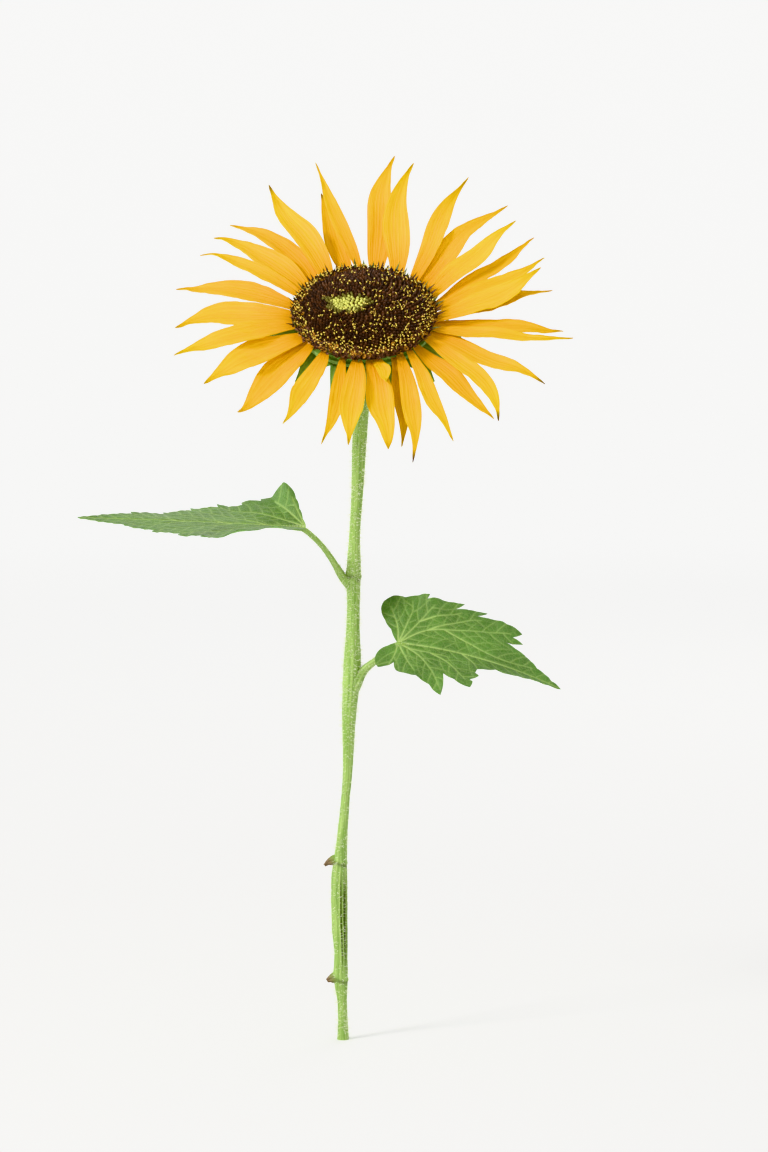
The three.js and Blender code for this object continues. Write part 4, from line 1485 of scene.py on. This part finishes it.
class SunflowerColours(bpy.types.PropertyGroup):
    """Colours that a user would change."""

    stem_colour: colour_property("Stem", "Green of the stem and stalks", (0.16, 0.27, 0.05))
    stem_streak: colour_property("Stem streaks", "Paler streaks along the stem", (0.3, 0.42, 0.12))
    stub_colour: colour_property("Stub", "Brown of the broken stalks", (0.3, 0.2, 0.1))
    leaf_colour: colour_property("Leaf", "Green of the upper face of a leaf", (0.06, 0.145, 0.02))
    vein_colour: colour_property("Vein", "Pale green of the leaf veins", (0.3, 0.42, 0.12))
    petal_base: colour_property("Petal foot", "Orange at the foot of a petal", (0.85, 0.36, 0.001))
    petal_colour: colour_property("Petal", "Gold of a petal", (0.93, 0.64, 0.002))
    petal_tip: colour_property("Petal tip", "Yellow at the tip of a petal", (0.95, 0.73, 0.006))
    bract_colour: colour_property("Bract", "Green of the bracts", (0.12, 0.22, 0.04))
    disc_colour: colour_property("Disc", "Dark brown of the disc", (0.05, 0.02, 0.008))
    heart_colour: colour_property("Heart", "Pale green of the unopened heart", (0.5, 0.5, 0.12))
    pollen_colour: colour_property("Pollen", "Yellow of the pollen", (0.8, 0.55, 0.12))


# Operators
class SUNFLOWER_OT_stage(bpy.types.Operator):
    """Sets up the camera, the lights and the pale floor."""

    bl_idname = "sunflower.stage"
    bl_label = "Stage"

    def execute(self, context):
        build_camera()
        build_backdrop()
        build_world(0.46)
        aim = (0.02, 0, 0.36)
        build_light("key", (-1.9, -1.2, 1.75), aim, 0.6, 70, (1.0, 0.985, 0.96))
        build_light("fill", (1.8, -1.5, 0.9), aim, 1.6, 4, (0.96, 0.98, 1.0))
        build_light("rim", (0.9, 1.9, 1.7), aim, 1.2, 19, (1.0, 0.99, 0.97))
        return {"FINISHED"}


def stem_hairiness(places, normals):
    """More hairs where the drawing has its rows of short strokes, and none at the foot and the neck."""
    height = places[:, 2] / MM
    banded = (height > 194) | ((height > 124) & (height < 136)) | ((height > 5) & (height < 34))
    return np.where(banded, 0.9, 0.35) * (height > 2) * (height < 450) * (np.abs(normals[:, 2]) < 0.9)


def stalk_hairiness(places, normals):
    """Hairs all over a stalk."""
    return np.full(len(places), 0.8)


class SUNFLOWER_OT_stem(bpy.types.Operator):
    """Builds the stem, the leaf stalks and the torn stubs."""

    bl_idname = "sunflower.stem"
    bl_label = "Stem, stalks and stubs"

    def execute(self, context):
        look = context.scene.sunflower_colours
        length = context.scene.sunflower_sizes.bristle_length / MM
        stem = build_stem(look)
        left = build_stalk("left_stalk", LEFT_STALK, look, "left_petiole")
        right = build_stalk("right_stalk", RIGHT_STALK, look, "right_petiole")
        build_stub("upper_torn_stub", UPPER_STUB, 7, look, "upper_stub")
        build_stub("lower_torn_stub", LOWER_STUB, 11, look, "lower_stub")
        hair = plain_material("bristle_white", (0.78, 0.8, 0.6), 0.4)
        coats = (
            ("stem_bristles", stem, STEM_HAIRS, length, 0.15, 21, stem_hairiness),
            ("left_bristles", left, STALK_HAIRS, 0.7 * length, 0.13, 22, stalk_hairiness),
            ("right_bristles", right, STALK_HAIRS, 0.7 * length, 0.13, 23, stalk_hairiness),
        )
        for coat in coats:
            finish(bristles(*coat), [hair], 0, "stem")
        return {"FINISHED"}


class SUNFLOWER_OT_leaves(bpy.types.Operator):
    """Builds the two leaf blades."""

    bl_idname = "sunflower.leaves"
    bl_label = "Leaves"

    def execute(self, context):
        look = context.scene.sunflower_colours
        thickness = context.scene.sunflower_sizes.leaf_thickness
        upper = leaf_material("leaf_top", look.leaf_colour, look.vein_colour, 0.46, 0.22)
        under = leaf_material("leaf_under", opaque(look.leaf_colour, 1.9), look.vein_colour, 0.62, -0.2)
        build_leaf("left_blade", LEFT_LEAF, thickness, [upper, under], "left_leaf")
        build_leaf("right_blade", RIGHT_LEAF, thickness, [upper, under], "right_leaf")
        return {"FINISHED"}


class SUNFLOWER_OT_petals(bpy.types.Operator):
    """Builds the ray petals."""

    bl_idname = "sunflower.petals"
    bl_label = "Petals"

    def execute(self, context):
        build_petals(context.scene.sunflower_sizes.petal_thickness, context.scene.sunflower_colours)
        return {"FINISHED"}


class SUNFLOWER_OT_involucre(bpy.types.Operator):
    """Builds the bowl behind the disc and its hairy bracts."""

    bl_idname = "sunflower.involucre"
    bl_label = "Receptacle and bracts"

    def execute(self, context):
        build_involucre(context.scene.sunflower_colours)
        return {"FINISHED"}


class SUNFLOWER_OT_disc(bpy.types.Operator):
    """Builds the disc with its florets."""

    bl_idname = "sunflower.disc"
    bl_label = "Disc"

    def execute(self, context):
        build_disc(context.scene.sunflower_sizes.florets, context.scene.sunflower_colours)
        return {"FINISHED"}


OPERATORS = (
    SUNFLOWER_OT_stage, SUNFLOWER_OT_stem, SUNFLOWER_OT_leaves, SUNFLOWER_OT_petals,
    SUNFLOWER_OT_involucre, SUNFLOWER_OT_disc,
)


class SUNFLOWER_PT_panel(bpy.types.Panel):
    """The sidebar panel of the sunflower."""

    bl_label = "Sunflower"
    bl_space_type = "VIEW_3D"
    bl_region_type = "UI"
    bl_category = "Sunflower"

    def draw(self, context):
        for group in (context.scene.sunflower_sizes, context.scene.sunflower_colours):
            for name in group.__annotations__:
                self.layout.prop(group, name)
        for operator in OPERATORS:
            self.layout.operator(operator.bl_idname)


CLASSES = (SunflowerSizes, SunflowerColours, *OPERATORS, SUNFLOWER_PT_panel)


def register():
    """Registers the properties, operators and panel."""
    for each in CLASSES:
        bpy.utils.register_class(each)
    bpy.types.Scene.sunflower_sizes = bpy.props.PointerProperty(type=SunflowerSizes)
    bpy.types.Scene.sunflower_colours = bpy.props.PointerProperty(type=SunflowerColours)


def unregister():
    """Takes them out again."""
    del bpy.types.Scene.sunflower_colours
    del bpy.types.Scene.sunflower_sizes
    for each in reversed(CLASSES):
        bpy.utils.unregister_class(each)


def main():
    """Builds every piece in order."""
    register()
    bpy.ops.sunflower.stage()
    bpy.ops.sunflower.stem()
    bpy.ops.sunflower.leaves()
    bpy.ops.sunflower.petals()
    bpy.ops.sunflower.involucre()
    bpy.ops.sunflower.disc()


if __name__ == "__main__":
    main()
